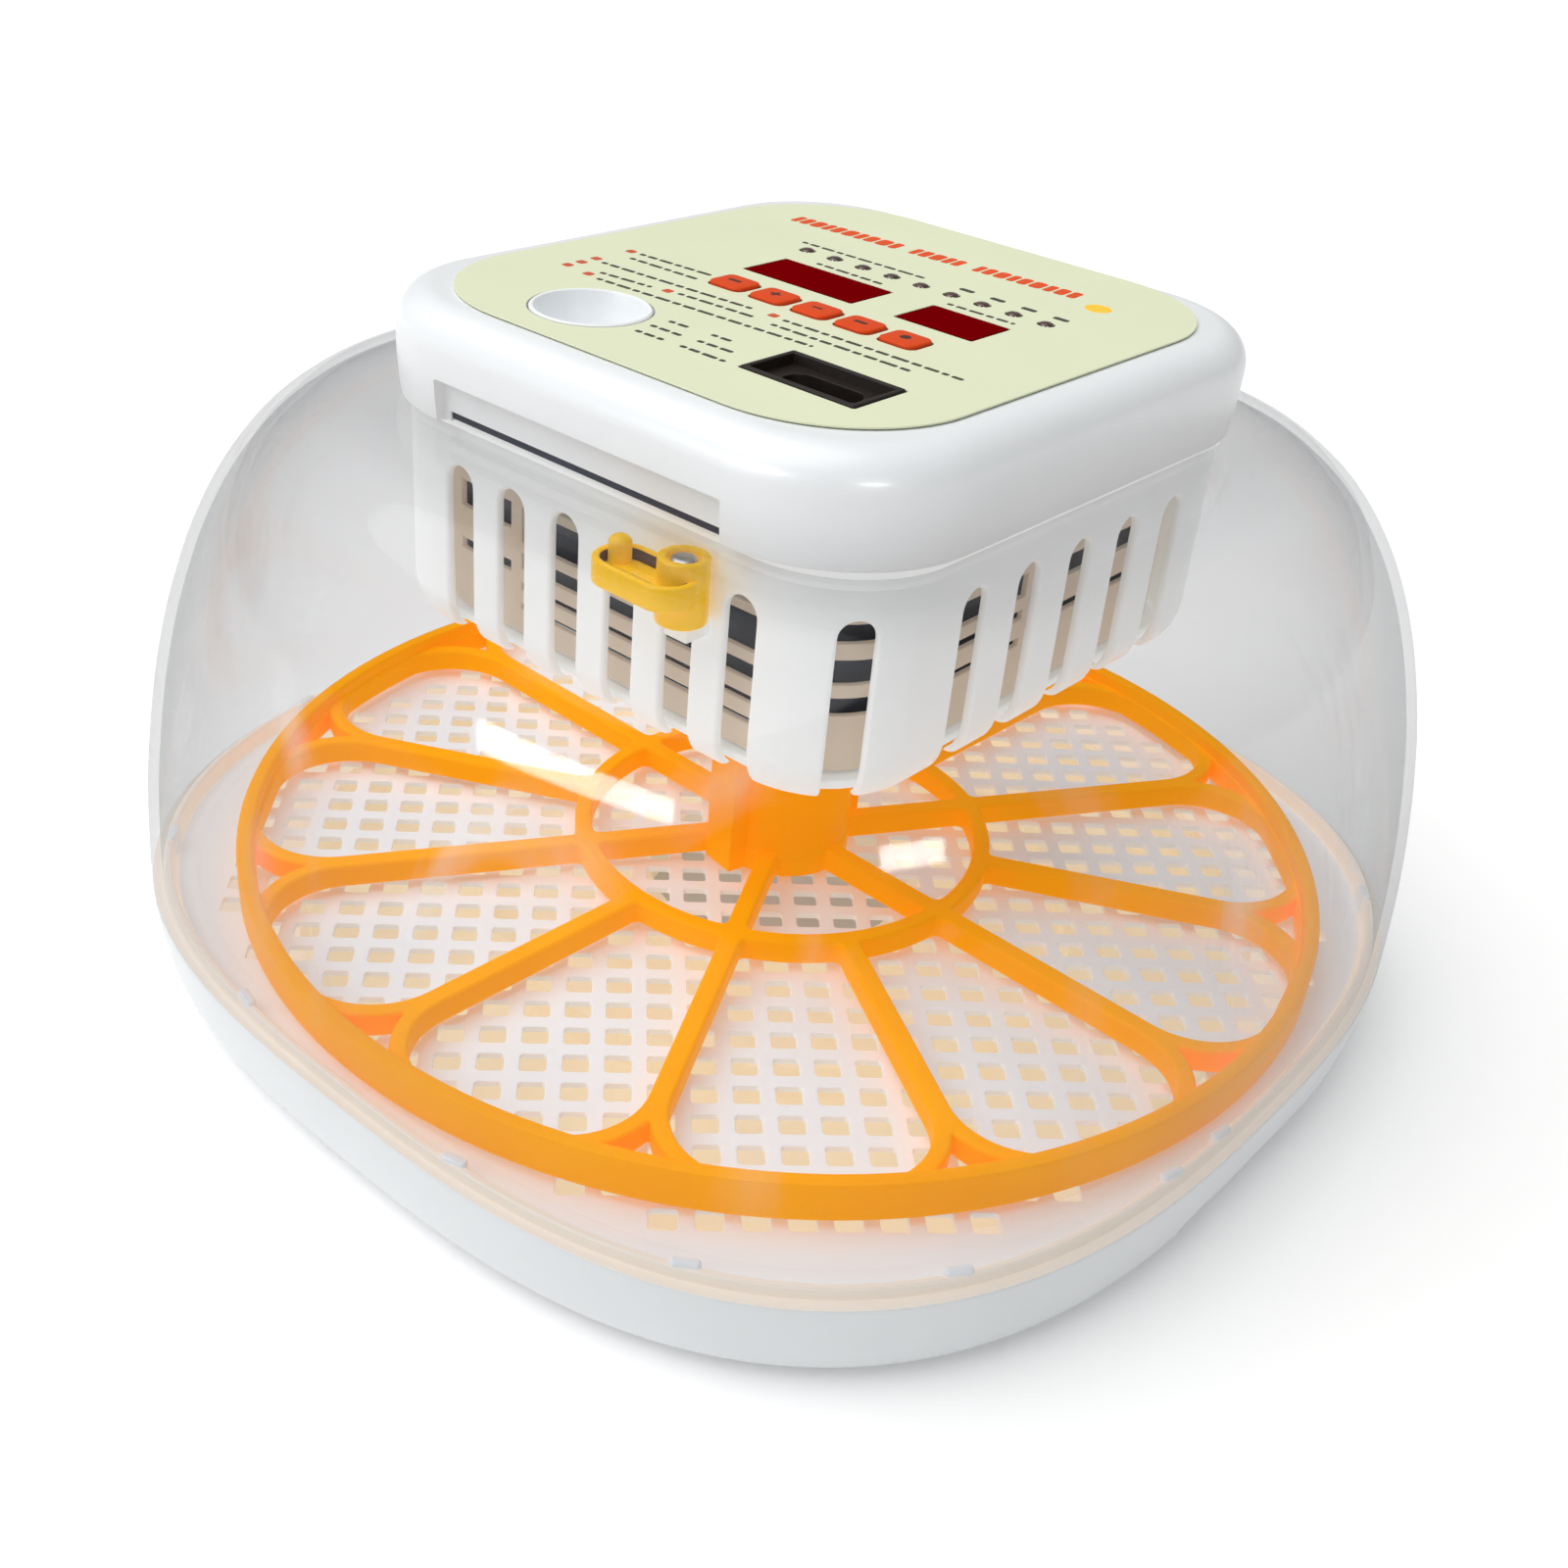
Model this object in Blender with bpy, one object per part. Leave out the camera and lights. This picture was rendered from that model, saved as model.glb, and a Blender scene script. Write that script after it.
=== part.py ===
"""Tabletop egg incubator: tub, egg grate, flower-shaped egg turner, clear dome and hanging control unit.

Metres, +Z up, origin at the middle of the footprint. -Y is the side the control panel is read from.
"""
import math

import bmesh
import bpy

MM = 0.001

# Plan shape shared by the tub, the grate and the dome: a superellipse (rounded square).
PLAN_POWER = 2.75
PLAN_SEGMENTS = 40

# Tub and feet.
FOOT_HEIGHT = 1.6
FOOT_RADIUS = 7.0
TUB_UNDERSIDE = 1.9
TUB_FLOOR_TOP = 4.4
SEAM_Z = 22.0
TUB_HALF = 126.4
WALL = 2.3
GRIP_DEPTH = 5.0
GRIP_HALF_LENGTH = 46.0

# Water tray and grate.
TRAY_RADIUS = 108.0
TRAY_BOTTOM = 4.8
GRATE_BOTTOM = 18.6
GRATE_TOP = 21.4
GRATE_HALF = 121.6
GRATE_PITCH = 24.3
GRATE_HOLE = (15.2, 14.4)

# Egg turner.
TURNER_RADIUS = 120.0
TURNER_BAND = 3.8
TURNER_BOTTOM = 23.2
TURNER_TOP = 32.0
SPOKE_TOP = 29.0
SPOKE_WIDTH = 4.4
PETALS = 12
PETAL_CORNER = 16.0
BRANCH_WIDTH = 3.6
INNER_RING_OUTER = 47.4
INNER_RING_INNER = 43.6
SPOKE_START_DEG = -2.0
HUB_RADIUS = 14.6
HUB_TOP = 70.0
HUB_BORE = 8.2
HUB_LUG_DEG = 259.0
HUB_LUG = (12.5, 18.6, 9.0)

# Dome: half width of the plan and height, from the seam to the edge of the top opening.
DOME_PROFILE = (
    (126.4, 22.3, 0.0),
    (125.4, 43.0, 0.0),
    (121.8, 69.0, 0.0),
    (114.1, 97.0, 0.0),
    (107.0, 111.0, 0.0),
    (99.0, 121.4, 0.0),
    (90.6, 126.4, 0.25),
    (80.0, 128.3, 0.65),
    (71.0, 127.9, 0.9),
    (64.6, 127.4, 1.0),
)
DOME_WALL = 2.0
OPENING = (62.9, 66.4, 22.5)

# Control unit.
CAGE_OUTER = (62.0, 65.5, 22.0)
CAGE_BOTTOM = 83.2
CAGE_TOP = 129.7
CAGE_WALL = 2.0
SLOT_WIDTH = 7.0
SLOT_TOP = 119.2
SLOT_FIRST_FRONT = -34.0
SLOT_PITCH_FRONT = 14.35
SLOT_FIRST_SIDE = -31.0
SLOT_PITCH_SIDE = 16.7
LINER_OUTER = (55.4, 58.8, 17.4)
LINER_WALL = 1.3
LINER_BOTTOM = 86.2
LINER_TOP = 127.0
LID_OUTER = (65.0, 70.0, 29.0)
LID_INNER = (62.4, 65.9, 22.4)
LID_BOTTOM = 128.6
LID_TOP = 148.8
LID_ROUND = 7.0
LABEL = (56.2, 62.6, 28.0)
LABEL_BOTTOM = 149.05
LABEL_TOP = 149.4
NOTCH_TOP = 136.8
NOTCH_HALF = 35.5
NOTCH_DEPTH_Y = -67.2

# Panel features, middle of each, in millimetres.
DISPLAY_A = (-9.0, 5.4, 27.5, 12.9)
DISPLAY_B = (24.0, 5.8, 17.7, 12.4)
BUTTON_FIRST = (-16.2, -11.1)
BUTTON_PITCH = 10.5
BUTTON_SIZE = (8.2, 7.4)
BUTTON_TRAVEL = 0.6
LED_FIRST = (-24.7, 20.8)
LED_PITCH = 7.5
LED_RADIUS = 1.45
INLET = (30.3, -39.9, 25.2, 14.2)
FUNNEL = (-20.9, -45.0)
FUNNEL_RADIUS = 11.0

# Vent lever.
LEVER_PIVOT = (29.0, -70.4)
LEVER_BOSS = (4.6, 113.0, 125.0)
LEVER_DISH = (23.7, -74.05, 21.0, 11.0, 5.4)
LEVER_DISH_Z = (117.4, 120.0, 122.4)
LEVER_WALL = 1.4
LEVER_FINGER = (16.0, -72.4, 2.1, 124.9)
SCREW_RECESS = (3.0, 123.6)
SCREW_HEAD = (2.3, 123.9, 124.8)

# Fan, heater and turning motor inside the cage.
FAN_HALF = 30.0
FAN_BOTTOM = 106.0
FAN_TOP = 120.0
FAN_BORE = 27.6
MOTOR_RADIUS = 16.0
GUARD_RADIUS = 50.0
GUARD_BOTTOM = 75.6

GAP = 0.3

for old in list(bpy.data.objects):
    bpy.data.objects.remove(old, do_unlink=True)


def material(name, colour, rough, metal=0.0, alpha=1.0):
    """Returns a Principled material of that name."""
    m = bpy.data.materials.new(name)
    m.use_nodes = True
    shader = m.node_tree.nodes["Principled BSDF"]
    shader.inputs["Base Color"].default_value = (*colour, 1.0)
    shader.inputs["Roughness"].default_value = rough
    shader.inputs["Metallic"].default_value = metal
    shader.inputs["Alpha"].default_value = alpha
    return m


WHITE = material("white_plastic", (0.82, 0.83, 0.83), 0.32)
TRAY_WHITE = material("tray_plastic", (0.80, 0.74, 0.66), 0.4)
GRATE_WHITE = material("grate_plastic", (0.84, 0.80, 0.76), 0.42)
ORANGE = material("orange_plastic", (0.95, 0.37, 0.01), 0.3)
CLEAR = material("clear_plastic", (0.86, 0.87, 0.88), 0.05, alpha=0.25)
YELLOW = material("yellow_plastic", (0.91, 0.55, 0.02), 0.3)
LABEL_GREEN = material("label_green", (0.76, 0.80, 0.57), 0.4)
RED_LENS = material("red_lens", (0.22, 0.004, 0.008), 0.18)
BUTTON_RED = material("button_red", (0.75, 0.10, 0.02), 0.4)
LED_DARK = material("led_lens", (0.06, 0.05, 0.045), 0.25)
BLACK = material("black_plastic", (0.012, 0.011, 0.010), 0.45)
PIN_METAL = material("pin_metal", (0.72, 0.70, 0.66), 0.3, metal=1.0)
STEEL = material("steel", (0.60, 0.60, 0.60), 0.35, metal=1.0)
BOARD = material("board_green", (0.03, 0.16, 0.07), 0.5)
HEATER = material("heater_metal", (0.55, 0.53, 0.50), 0.4, metal=1.0)
MOTOR_BLACK = material("motor_black", (0.02, 0.022, 0.03), 0.4)
RUBBER = material("rubber", (0.05, 0.05, 0.05), 0.85)


def super_radius(angle, half, power=PLAN_POWER):
    """Distance from the middle to a superellipse at that angle."""
    c = abs(math.cos(angle))
    s = abs(math.sin(angle))
    return half * (c**power + s**power) ** (-1.0 / power)


def rounded_radius(angle, hx, hy, corner):
    """Distance from the middle to a rounded rectangle at that angle."""
    c = abs(math.cos(angle))
    s = abs(math.sin(angle))
    flat = min(hx / max(c, 1e-9), hy / max(s, 1e-9))
    x = flat * c
    y = flat * s
    if x <= hx - corner or y <= hy - corner:
        return flat
    cx = hx - corner
    cy = hy - corner
    along = c * cx + s * cy
    return along + math.sqrt(max(corner**2 - (cx**2 + cy**2 - along**2), 0.0))


def angles(count):
    """Evenly spaced angles, in radians."""
    return [2.0 * math.pi * i / count for i in range(count)]


def ring_super(half, z, count=PLAN_SEGMENTS):
    """One level of the tub, grate or dome."""
    out = []
    for t in angles(count):
        r = super_radius(t, half)
        out.append((r * math.cos(t), r * math.sin(t), z))
    return out


def ring_rounded(size, z, count=PLAN_SEGMENTS):
    """One level of a rounded rectangle."""
    out = []
    for t in angles(count):
        r = rounded_radius(t, *size)
        out.append((r * math.cos(t), r * math.sin(t), z))
    return out


def ring_circle(radius, z, count=32, middle=(0.0, 0.0)):
    """One level of a round part."""
    return [(x, y, z) for x, y in circle(*middle, radius, count)]


def ring_dome(half, z, blend, count=PLAN_SEGMENTS):
    """One level of the dome, which turns from the tub's plan into the opening's."""
    grow = half - DOME_PROFILE[-1][0]
    size = (OPENING[0] + grow, OPENING[1] + grow, OPENING[2] + 1.2 * grow)
    out = []
    for t in angles(count):
        r = (1.0 - blend) * super_radius(t, half) + blend * rounded_radius(t, *size)
        out.append((r * math.cos(t), r * math.sin(t), z))
    return out


def shrink(size, by):
    """A rounded rectangle moved inwards all round."""
    return (size[0] - by, size[1] - by, max(size[2] - by, 0.5))


def finish(name, bm, mat, origin, smooth):
    """Makes the object, with its origin in millimetres at the given point."""
    bmesh.ops.recalc_face_normals(bm, faces=bm.faces)
    for v in bm.verts:
        v.co.x = (v.co.x - origin[0]) * MM
        v.co.y = (v.co.y - origin[1]) * MM
        v.co.z = (v.co.z - origin[2]) * MM
    mesh = bpy.data.meshes.new(name)
    bm.to_mesh(mesh)
    bm.free()
    if smooth is not None:
        mesh.shade_smooth()
        mesh.set_sharp_from_angle(angle=math.radians(smooth))
    obj = bpy.data.objects.new(name, mesh)
    obj.location = tuple(v * MM for v in origin)
    bpy.context.collection.objects.link(obj)
    if mat is not None:
        mesh.materials.append(mat)
    return obj


def add_loft(bm, rings, loop):
    """Adds one body: rings joined in order, then closed round on themselves or capped."""
    rows = [[bm.verts.new(p) for p in ring] for ring in rings]
    count = len(rows[0])
    pairs = list(zip(rows[:-1], rows[1:]))
    if loop:
        pairs.append((rows[-1], rows[0]))
    for low, high in pairs:
        for i in range(count):
            j = (i + 1) % count
            bm.faces.new((low[i], low[j], high[j], high[i]))
    if not loop:
        bm.faces.new(rows[0][::-1])
        bm.faces.new(rows[-1])


def loft(name, rings, mat, loop=False, origin=(0.0, 0.0, 0.0), smooth=35.0):
    """One object made from rings."""
    bm = bmesh.new()
    add_loft(bm, rings, loop)
    return finish(name, bm, mat, origin, smooth)


def add_prism(bm, outline, z0, z1):
    """Adds an outline pushed up from z0 to z1."""
    add_loft(bm, [[(x, y, z0) for x, y in outline], [(x, y, z1) for x, y in outline]], False)


def prism(name, outlines, z0, z1, mat, origin=(0.0, 0.0, 0.0), smooth=35.0):
    """One object made from separate outlines of the same height."""
    bm = bmesh.new()
    for outline in outlines:
        add_prism(bm, outline, z0, z1)
    return finish(name, bm, mat, origin, smooth)


def rectangle(cx, cy, width, depth):
    """Corners of a rectangle by its middle and sizes."""
    hx = width / 2.0
    hy = depth / 2.0
    return [(cx - hx, cy - hy), (cx + hx, cy - hy), (cx + hx, cy + hy), (cx - hx, cy + hy)]


def circle(cx, cy, radius, count):
    """Points of a circle."""
    return [(cx + radius * math.cos(t), cy + radius * math.sin(t)) for t in angles(count)]


def rounded(cx, cy, width, depth, corner, steps=3):
    """Points of a rounded rectangle."""
    out = []
    for sx, sy, start in ((1, 1, 0), (-1, 1, 90), (-1, -1, 180), (1, -1, 270)):
        for k in range(steps + 1):
            t = math.radians(start + 90.0 * k / steps)
            x = cx + sx * (width / 2.0 - corner) + corner * math.cos(t)
            y = cy + sy * (depth / 2.0 - corner) + corner * math.sin(t)
            out.append((x, y))
    return out


def turned(points, degrees):
    """Points turned about the middle."""
    c = math.cos(math.radians(degrees))
    s = math.sin(math.radians(degrees))
    return [(x * c - y * s, x * s + y * c) for x, y in points]


def box(name, low, high, mat, origin=(0.0, 0.0, 0.0)):
    """A plain box by its two corners."""
    outline = [(low[0], low[1]), (high[0], low[1]), (high[0], high[1]), (low[0], high[1])]
    return prism(name, [outline], low[2], high[2], mat, origin, None)


def boolean(obj, tool, operation):
    """Adds or removes the tool's body."""
    mod = obj.modifiers.new(tool.name, "BOOLEAN")
    mod.operation = operation
    mod.solver = "EXACT"
    mod.object = tool
    tool.hide_render = True
    tool.display_type = "WIRE"


def cut(obj, *tools):
    """Removes each tool from the object."""
    for tool in tools:
        boolean(obj, tool, "DIFFERENCE")


def join(obj, *tools):
    """Adds each tool to the object."""
    for tool in tools:
        boolean(obj, tool, "UNION")


# ---------------------------------------------------------------- tub, feet, tray, grate


def build_base():
    """The white tub with its grips, feet, water tray and grate."""
    outer = [
        (118.6, TUB_UNDERSIDE),
        (121.8, TUB_UNDERSIDE + 0.7),
        (123.8, TUB_UNDERSIDE + 2.6),
        (125.2, 9.0),
        (126.1, 15.0),
        (TUB_HALF, SEAM_Z),
        (124.0, SEAM_Z),
        (123.9, SEAM_Z + 2.4),
        (TUB_HALF - WALL - 1.6, SEAM_Z + 2.4),
        (122.6, 15.0),
        (121.0, TUB_FLOOR_TOP + 3.0),
        (118.6, TUB_FLOOR_TOP),
    ]
    tub = loft("base_tub", [ring_super(a, z) for a, z in outer], WHITE)
    for side in (-1, 1):
        bm = bmesh.new()
        rows = []
        for z, share in ((0.5, 1.0), (6.0, 0.72), (10.5, 0.3), (12.6, 0.01)):
            reach = GRIP_DEPTH * share
            row = []
            for k in range(13):
                y = GRIP_HALF_LENGTH * (k / 6.0 - 1.0)
                inward = reach * math.cos(0.5 * math.pi * y / GRIP_HALF_LENGTH) ** 2
                edge = 126.2 * (1.0 - abs(y / 126.2) ** PLAN_POWER) ** (1.0 / PLAN_POWER)
                row.append((side * (edge - inward - 1.2 + 1.2 * (z / 12.6) ** 2), y, z))
            back = [(side * 135.0, p[1], z) for p in reversed(row)]
            rows.append(row + back)
        add_loft(bm, rows, False)
        grip = finish(f"cut_grip_{side + 1}", bm, None, (0, 0, 0), None)
        cut(tub, grip)
    for i, (sx, sy) in enumerate(((1, 1), (-1, 1), (-1, -1), (1, -1))):
        middle = (sx * 82.0, sy * 82.0)
        rings = [
            ring_circle(FOOT_RADIUS - 0.8, 0.0, 20, middle),
            ring_circle(FOOT_RADIUS, 0.8, 20, middle),
            ring_circle(FOOT_RADIUS, FOOT_HEIGHT, 20, middle),
        ]
        loft(f"foot_{i + 1}", rings, RUBBER)
    build_tray()
    build_grate()


def build_tray():
    """The round water tray: a floor with rings that part its inner and outer channels."""
    floor = TRAY_BOTTOM + 1.4
    radii = [
        (30.0, TRAY_BOTTOM),
        (TRAY_RADIUS, TRAY_BOTTOM),
        (TRAY_RADIUS + 1.0, 15.5),
        (TRAY_RADIUS - 1.0, 15.5),
        (TRAY_RADIUS - 1.8, floor),
        (69.2, floor),
        (68.8, 13.5),
        (67.0, 13.5),
        (66.6, floor),
        (33.4, floor),
        (32.6, 15.5),
        (30.0, 15.5),
    ]
    loft("water_tray", [ring_circle(r, z, 28) for r, z in radii], TRAY_WHITE, loop=True, smooth=30.0)


def build_grate():
    """The egg grate, with its holes set at 45 degrees to the control unit."""
    grate = loft(
        "egg_grate",
        [
            ring_super(GRATE_HALF - 0.6, GRATE_BOTTOM),
            ring_super(GRATE_HALF, GRATE_BOTTOM + 0.6),
            ring_super(GRATE_HALF, GRATE_TOP - 0.5),
            ring_super(GRATE_HALF - 0.5, GRATE_TOP),
        ],
        GRATE_WHITE,
    )
    holes = []
    reach = int(150.0 / GRATE_PITCH)
    for i in range(-reach, reach + 1):
        for j in range(-reach, reach + 1):
            hole = rectangle((i + 0.5) * GRATE_PITCH, (j + 0.5) * GRATE_PITCH, *GRATE_HOLE)
            hole = turned(hole, 45.0)
            if max(math.hypot(x, y) for x, y in hole) < 113.0:
                holes.append(hole)
    cut(grate, prism("cut_grate", holes, GRATE_BOTTOM - 2.0, GRATE_TOP + 2.0, None, smooth=None))


# ---------------------------------------------------------------- egg turner


def petal():
    """Outline of one petal about the X axis."""
    half = math.pi / PETALS
    inside = TURNER_RADIUS - TURNER_BAND
    middle = inside - PETAL_CORNER
    lean = math.asin((PETAL_CORNER + SPOKE_WIDTH / 2.0) / middle)
    out = []
    root = INNER_RING_OUTER
    start = half - math.asin(SPOKE_WIDTH / 2.0 / root)
    for k in range(3):
        t = start * (1.0 - k)
        out.append((root * math.cos(t), root * math.sin(t)))
    centre = half - lean
    for k in range(5):
        t = -half - math.pi / 2.0 + (half + math.pi / 2.0 - centre) * k / 4.0
        x = middle * math.cos(centre) + PETAL_CORNER * math.cos(t)
        y = -middle * math.sin(centre) + PETAL_CORNER * math.sin(t)
        out.append((x, y))
    out.append((inside * math.cos(0.0), 0.0))
    for k in range(5):
        t = centre + (half + math.pi / 2.0 - centre) * k / 4.0
        x = middle * math.cos(centre) + PETAL_CORNER * math.cos(t)
        y = middle * math.sin(centre) + PETAL_CORNER * math.sin(t)
        out.append((x, y))
    return out


def web():
    """Outline of the small triangle between two petals, about the X axis."""
    inside = TURNER_RADIUS - TURNER_BAND
    middle = inside - PETAL_CORNER
    lean = math.asin((PETAL_CORNER + SPOKE_WIDTH / 2.0) / middle)
    cx = middle * math.cos(lean)
    cy = middle * math.sin(lean)
    radius = PETAL_CORNER + BRANCH_WIDTH
    apex = cx + math.sqrt(radius**2 - cy**2)
    near = math.acos((middle**2 + inside**2 - radius**2) / (2.0 * middle * inside))
    corner = lean - near
    side = [(apex, 0.0)]
    a0 = math.atan2(-cy, apex - cx)
    a1 = math.atan2(inside * math.sin(corner) - cy, inside * math.cos(corner) - cx)
    for k in range(1, 4):
        t = a0 + (a1 - a0) * k / 3.0
        side.append((cx + radius * math.cos(t), cy + radius * math.sin(t)))
    return [(x, -y) for x, y in side] + [(inside, 0.0)] + [p for p in reversed(side[1:])]


def inner_sector():
    """Outline of one opening between two hub spokes, about the X axis."""
    out = []
    for radius, order in ((HUB_RADIUS + 0.4, (1, -1)), (INNER_RING_INNER, (-1, 1))):
        edge = math.radians(30.0) - math.asin(SPOKE_WIDTH / 2.0 / radius)
        for k in range(4 if radius > 20.0 else 3):
            share = k / (3.0 if radius > 20.0 else 2.0)
            t = edge * (order[0] + (order[1] - order[0]) * share)
            out.append((radius * math.cos(t), radius * math.sin(t)))
    return out


def build_turner():
    """The orange turner: outer ring, twelve petals, inner ring and tall hub."""
    disc = circle(0, 0, TURNER_RADIUS - 2.0, 60)
    turner = prism("egg_turner", [disc], TURNER_BOTTOM + 0.2, SPOKE_TOP, ORANGE)
    step = 360.0 / PETALS
    holes = []
    for k in range(PETALS):
        holes.append(turned(petal(), SPOKE_START_DEG + step * (k + 0.5)))
        holes.append(turned(web(), SPOKE_START_DEG + step * k))
    for k in range(PETALS // 2):
        holes.append(turned(inner_sector(), SPOKE_START_DEG + 2.0 * step * (k + 0.5)))
    cut(turner, prism("cut_petals", holes, TURNER_BOTTOM - 3.0, TURNER_TOP + 3.0, None, smooth=None))
    band = loft(
        "add_band",
        [
            ring_circle(TURNER_RADIUS - TURNER_BAND + 0.4, TURNER_BOTTOM, 60),
            ring_circle(TURNER_RADIUS, TURNER_BOTTOM, 60),
            ring_circle(TURNER_RADIUS, TURNER_TOP, 60),
            ring_circle(TURNER_RADIUS - TURNER_BAND + 0.4, TURNER_TOP, 60),
        ],
        ORANGE,
        loop=True,
    )
    hub = loft(
        "add_hub",
        [
            ring_circle(HUB_RADIUS, TURNER_BOTTOM - 0.1, 24),
            ring_circle(HUB_RADIUS, HUB_TOP, 24),
            ring_circle(HUB_BORE, HUB_TOP, 24),
            ring_circle(HUB_BORE, HUB_TOP - 22.0, 24),
        ],
        ORANGE,
    )
    lugs = []
    for k in range(2):
        near, far, width = HUB_LUG
        lug = rectangle((near + far) / 2.0, 0.0, far - near, width)
        lugs.append(turned(lug, HUB_LUG_DEG + 180.0 * k))
    blocks = prism("add_lugs", lugs, TURNER_BOTTOM + 0.05, HUB_TOP - 0.4, ORANGE)
    join(turner, band, hub, blocks)


# ---------------------------------------------------------------- dome


def build_dome():
    """The clear dome, open below and with the control unit's opening on top."""
    outer = [ring_dome(a, z, b) for a, z, b in DOME_PROFILE]
    inner = []
    for i, (a, z, b) in enumerate(DOME_PROFILE):
        steep = (1.0, 1.0, 0.98, 0.92, 0.8, 0.6, 0.3, 0.0, 0.0, 0.0)[i]
        drop = DOME_WALL * math.sqrt(max(0.0, 1.0 - steep**2))
        inward = DOME_WALL * steep
        if i == len(DOME_PROFILE) - 1:
            inward = 0.0
            drop = DOME_WALL
        inner.append(ring_dome(a - inward, z - drop, b))
    loft("clear_dome", outer + inner[::-1], CLEAR, loop=True, smooth=40.0)


# ---------------------------------------------------------------- control unit


def slot_outline():
    """Outline of one upright slot with a round top, as width and height."""
    half = SLOT_WIDTH / 2.0
    out = [(-half, CAGE_BOTTOM - 3.0), (half, CAGE_BOTTOM - 3.0)]
    for k in range(4):
        t = math.pi * k / 3.0
        out.append((half * math.cos(t), SLOT_TOP - half + half * math.sin(t)))
    return out


def add_slot(bm, place, direction, near, far):
    """Adds one slot cutter at a place along a wall, running through it from near to far."""
    nx = math.cos(math.radians(direction))
    ny = math.sin(math.radians(direction))
    rings = []
    for depth in (near, far):
        ring = []
        for u, z in slot_outline():
            ring.append((nx * depth - ny * (place + u), ny * depth + nx * (place + u), z))
        rings.append(ring)
    add_loft(bm, rings, False)


def build_cage():
    """The slotted white housing that hangs inside the dome."""
    w = CAGE_WALL
    rings = [
        ring_rounded(shrink(CAGE_OUTER, 6.0), CAGE_BOTTOM),
        ring_rounded(shrink(CAGE_OUTER, 2.2), CAGE_BOTTOM + 1.4),
        ring_rounded(shrink(CAGE_OUTER, 0.4), CAGE_BOTTOM + 5.0),
        ring_rounded(CAGE_OUTER, CAGE_TOP),
        ring_rounded(shrink(CAGE_OUTER, w), CAGE_TOP),
        ring_rounded(shrink(CAGE_OUTER, w + 0.3), CAGE_BOTTOM + 6.0),
        ring_rounded(shrink(CAGE_OUTER, w + 3.6), CAGE_BOTTOM + 2.4),
    ]
    cage = loft("vent_cage", rings, WHITE)
    bm = bmesh.new()
    for k in range(6):
        place = SLOT_FIRST_FRONT + SLOT_PITCH_FRONT * k
        add_slot(bm, place, 270.0, 53.0, 72.0)
        add_slot(bm, -place, 90.0, 53.0, 72.0)
    for k in range(5):
        place = SLOT_FIRST_SIDE + SLOT_PITCH_SIDE * k
        add_slot(bm, place, 0.0, 50.0, 70.0)
        add_slot(bm, -place, 180.0, 50.0, 70.0)
    add_slot(bm, 0.0, 315.0, 66.0, 90.0)
    slots = finish("cut_slots", bm, None, (0, 0, 0), None)
    bore = prism("cut_bore", [circle(0, 0, 44.0, 32)], CAGE_BOTTOM - 2.0, CAGE_BOTTOM + 4.0, None)
    drip = prism("cut_drip", [circle(*FUNNEL, 3.1, 12)], CAGE_BOTTOM - 2.0, CAGE_BOTTOM + 4.0, None)
    cut(cage, bore, drip, slots)
    build_liner()


def build_liner():
    """The inner sleeve behind the slots, with rows of level windows."""
    inner = shrink(LINER_OUTER, LINER_WALL)
    rings = [ring_rounded(LINER_OUTER, LINER_BOTTOM), ring_rounded(LINER_OUTER, LINER_TOP)]
    rings += [ring_rounded(inner, LINER_TOP), ring_rounded(inner, LINER_BOTTOM)]
    liner = loft("cage_liner", rings, GRATE_WHITE, loop=True)
    for row, (z0, z1) in enumerate(((97.4, 100.8), (103.4, 108.2), (111.4, 115.0))):
        for axis, half, reach in ((0, 40.0, 62.0), (1, 34.0, 64.0)):
            for side in (-1, 1):
                low = [-half, -half, z0]
                high = [half, half, z1]
                low[1 - axis] = min(side * 48.0, side * reach)
                high[1 - axis] = max(side * 48.0, side * reach)
                name = f"cut_window_{row}_{axis}_{side + 1}"
                cut(liner, box(name, low, high, None))
        corner = turned(rectangle(67.0, 0.0, 22.0, 9.0), 315.0)
        cut(liner, prism(f"cut_corner_{row}", [corner], z0, z1, None, smooth=None))


def panel_holes(grow):
    """Outlines of every hole in the panel, each larger than its piece by grow all round."""
    out = []
    for x, y, width, depth in (DISPLAY_A, DISPLAY_B):
        out.append(rectangle(x, y, width + 2 * grow, depth + 2 * grow))
    for k in range(5):
        x = BUTTON_FIRST[0] + BUTTON_PITCH * k
        out.append(rectangle(x, BUTTON_FIRST[1], BUTTON_SIZE[0] + 2 * grow, BUTTON_SIZE[1] + 2 * grow))
    for k in range(9):
        out.append(circle(LED_FIRST[0] + LED_PITCH * k, LED_FIRST[1], LED_RADIUS + grow, 8))
    x, y, width, depth = INLET
    out.append(rectangle(x, y, width + 2 * grow, depth + 2 * grow))
    out.append(circle(*FUNNEL, FUNNEL_RADIUS + 0.9 + grow, 20))
    return out


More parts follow.
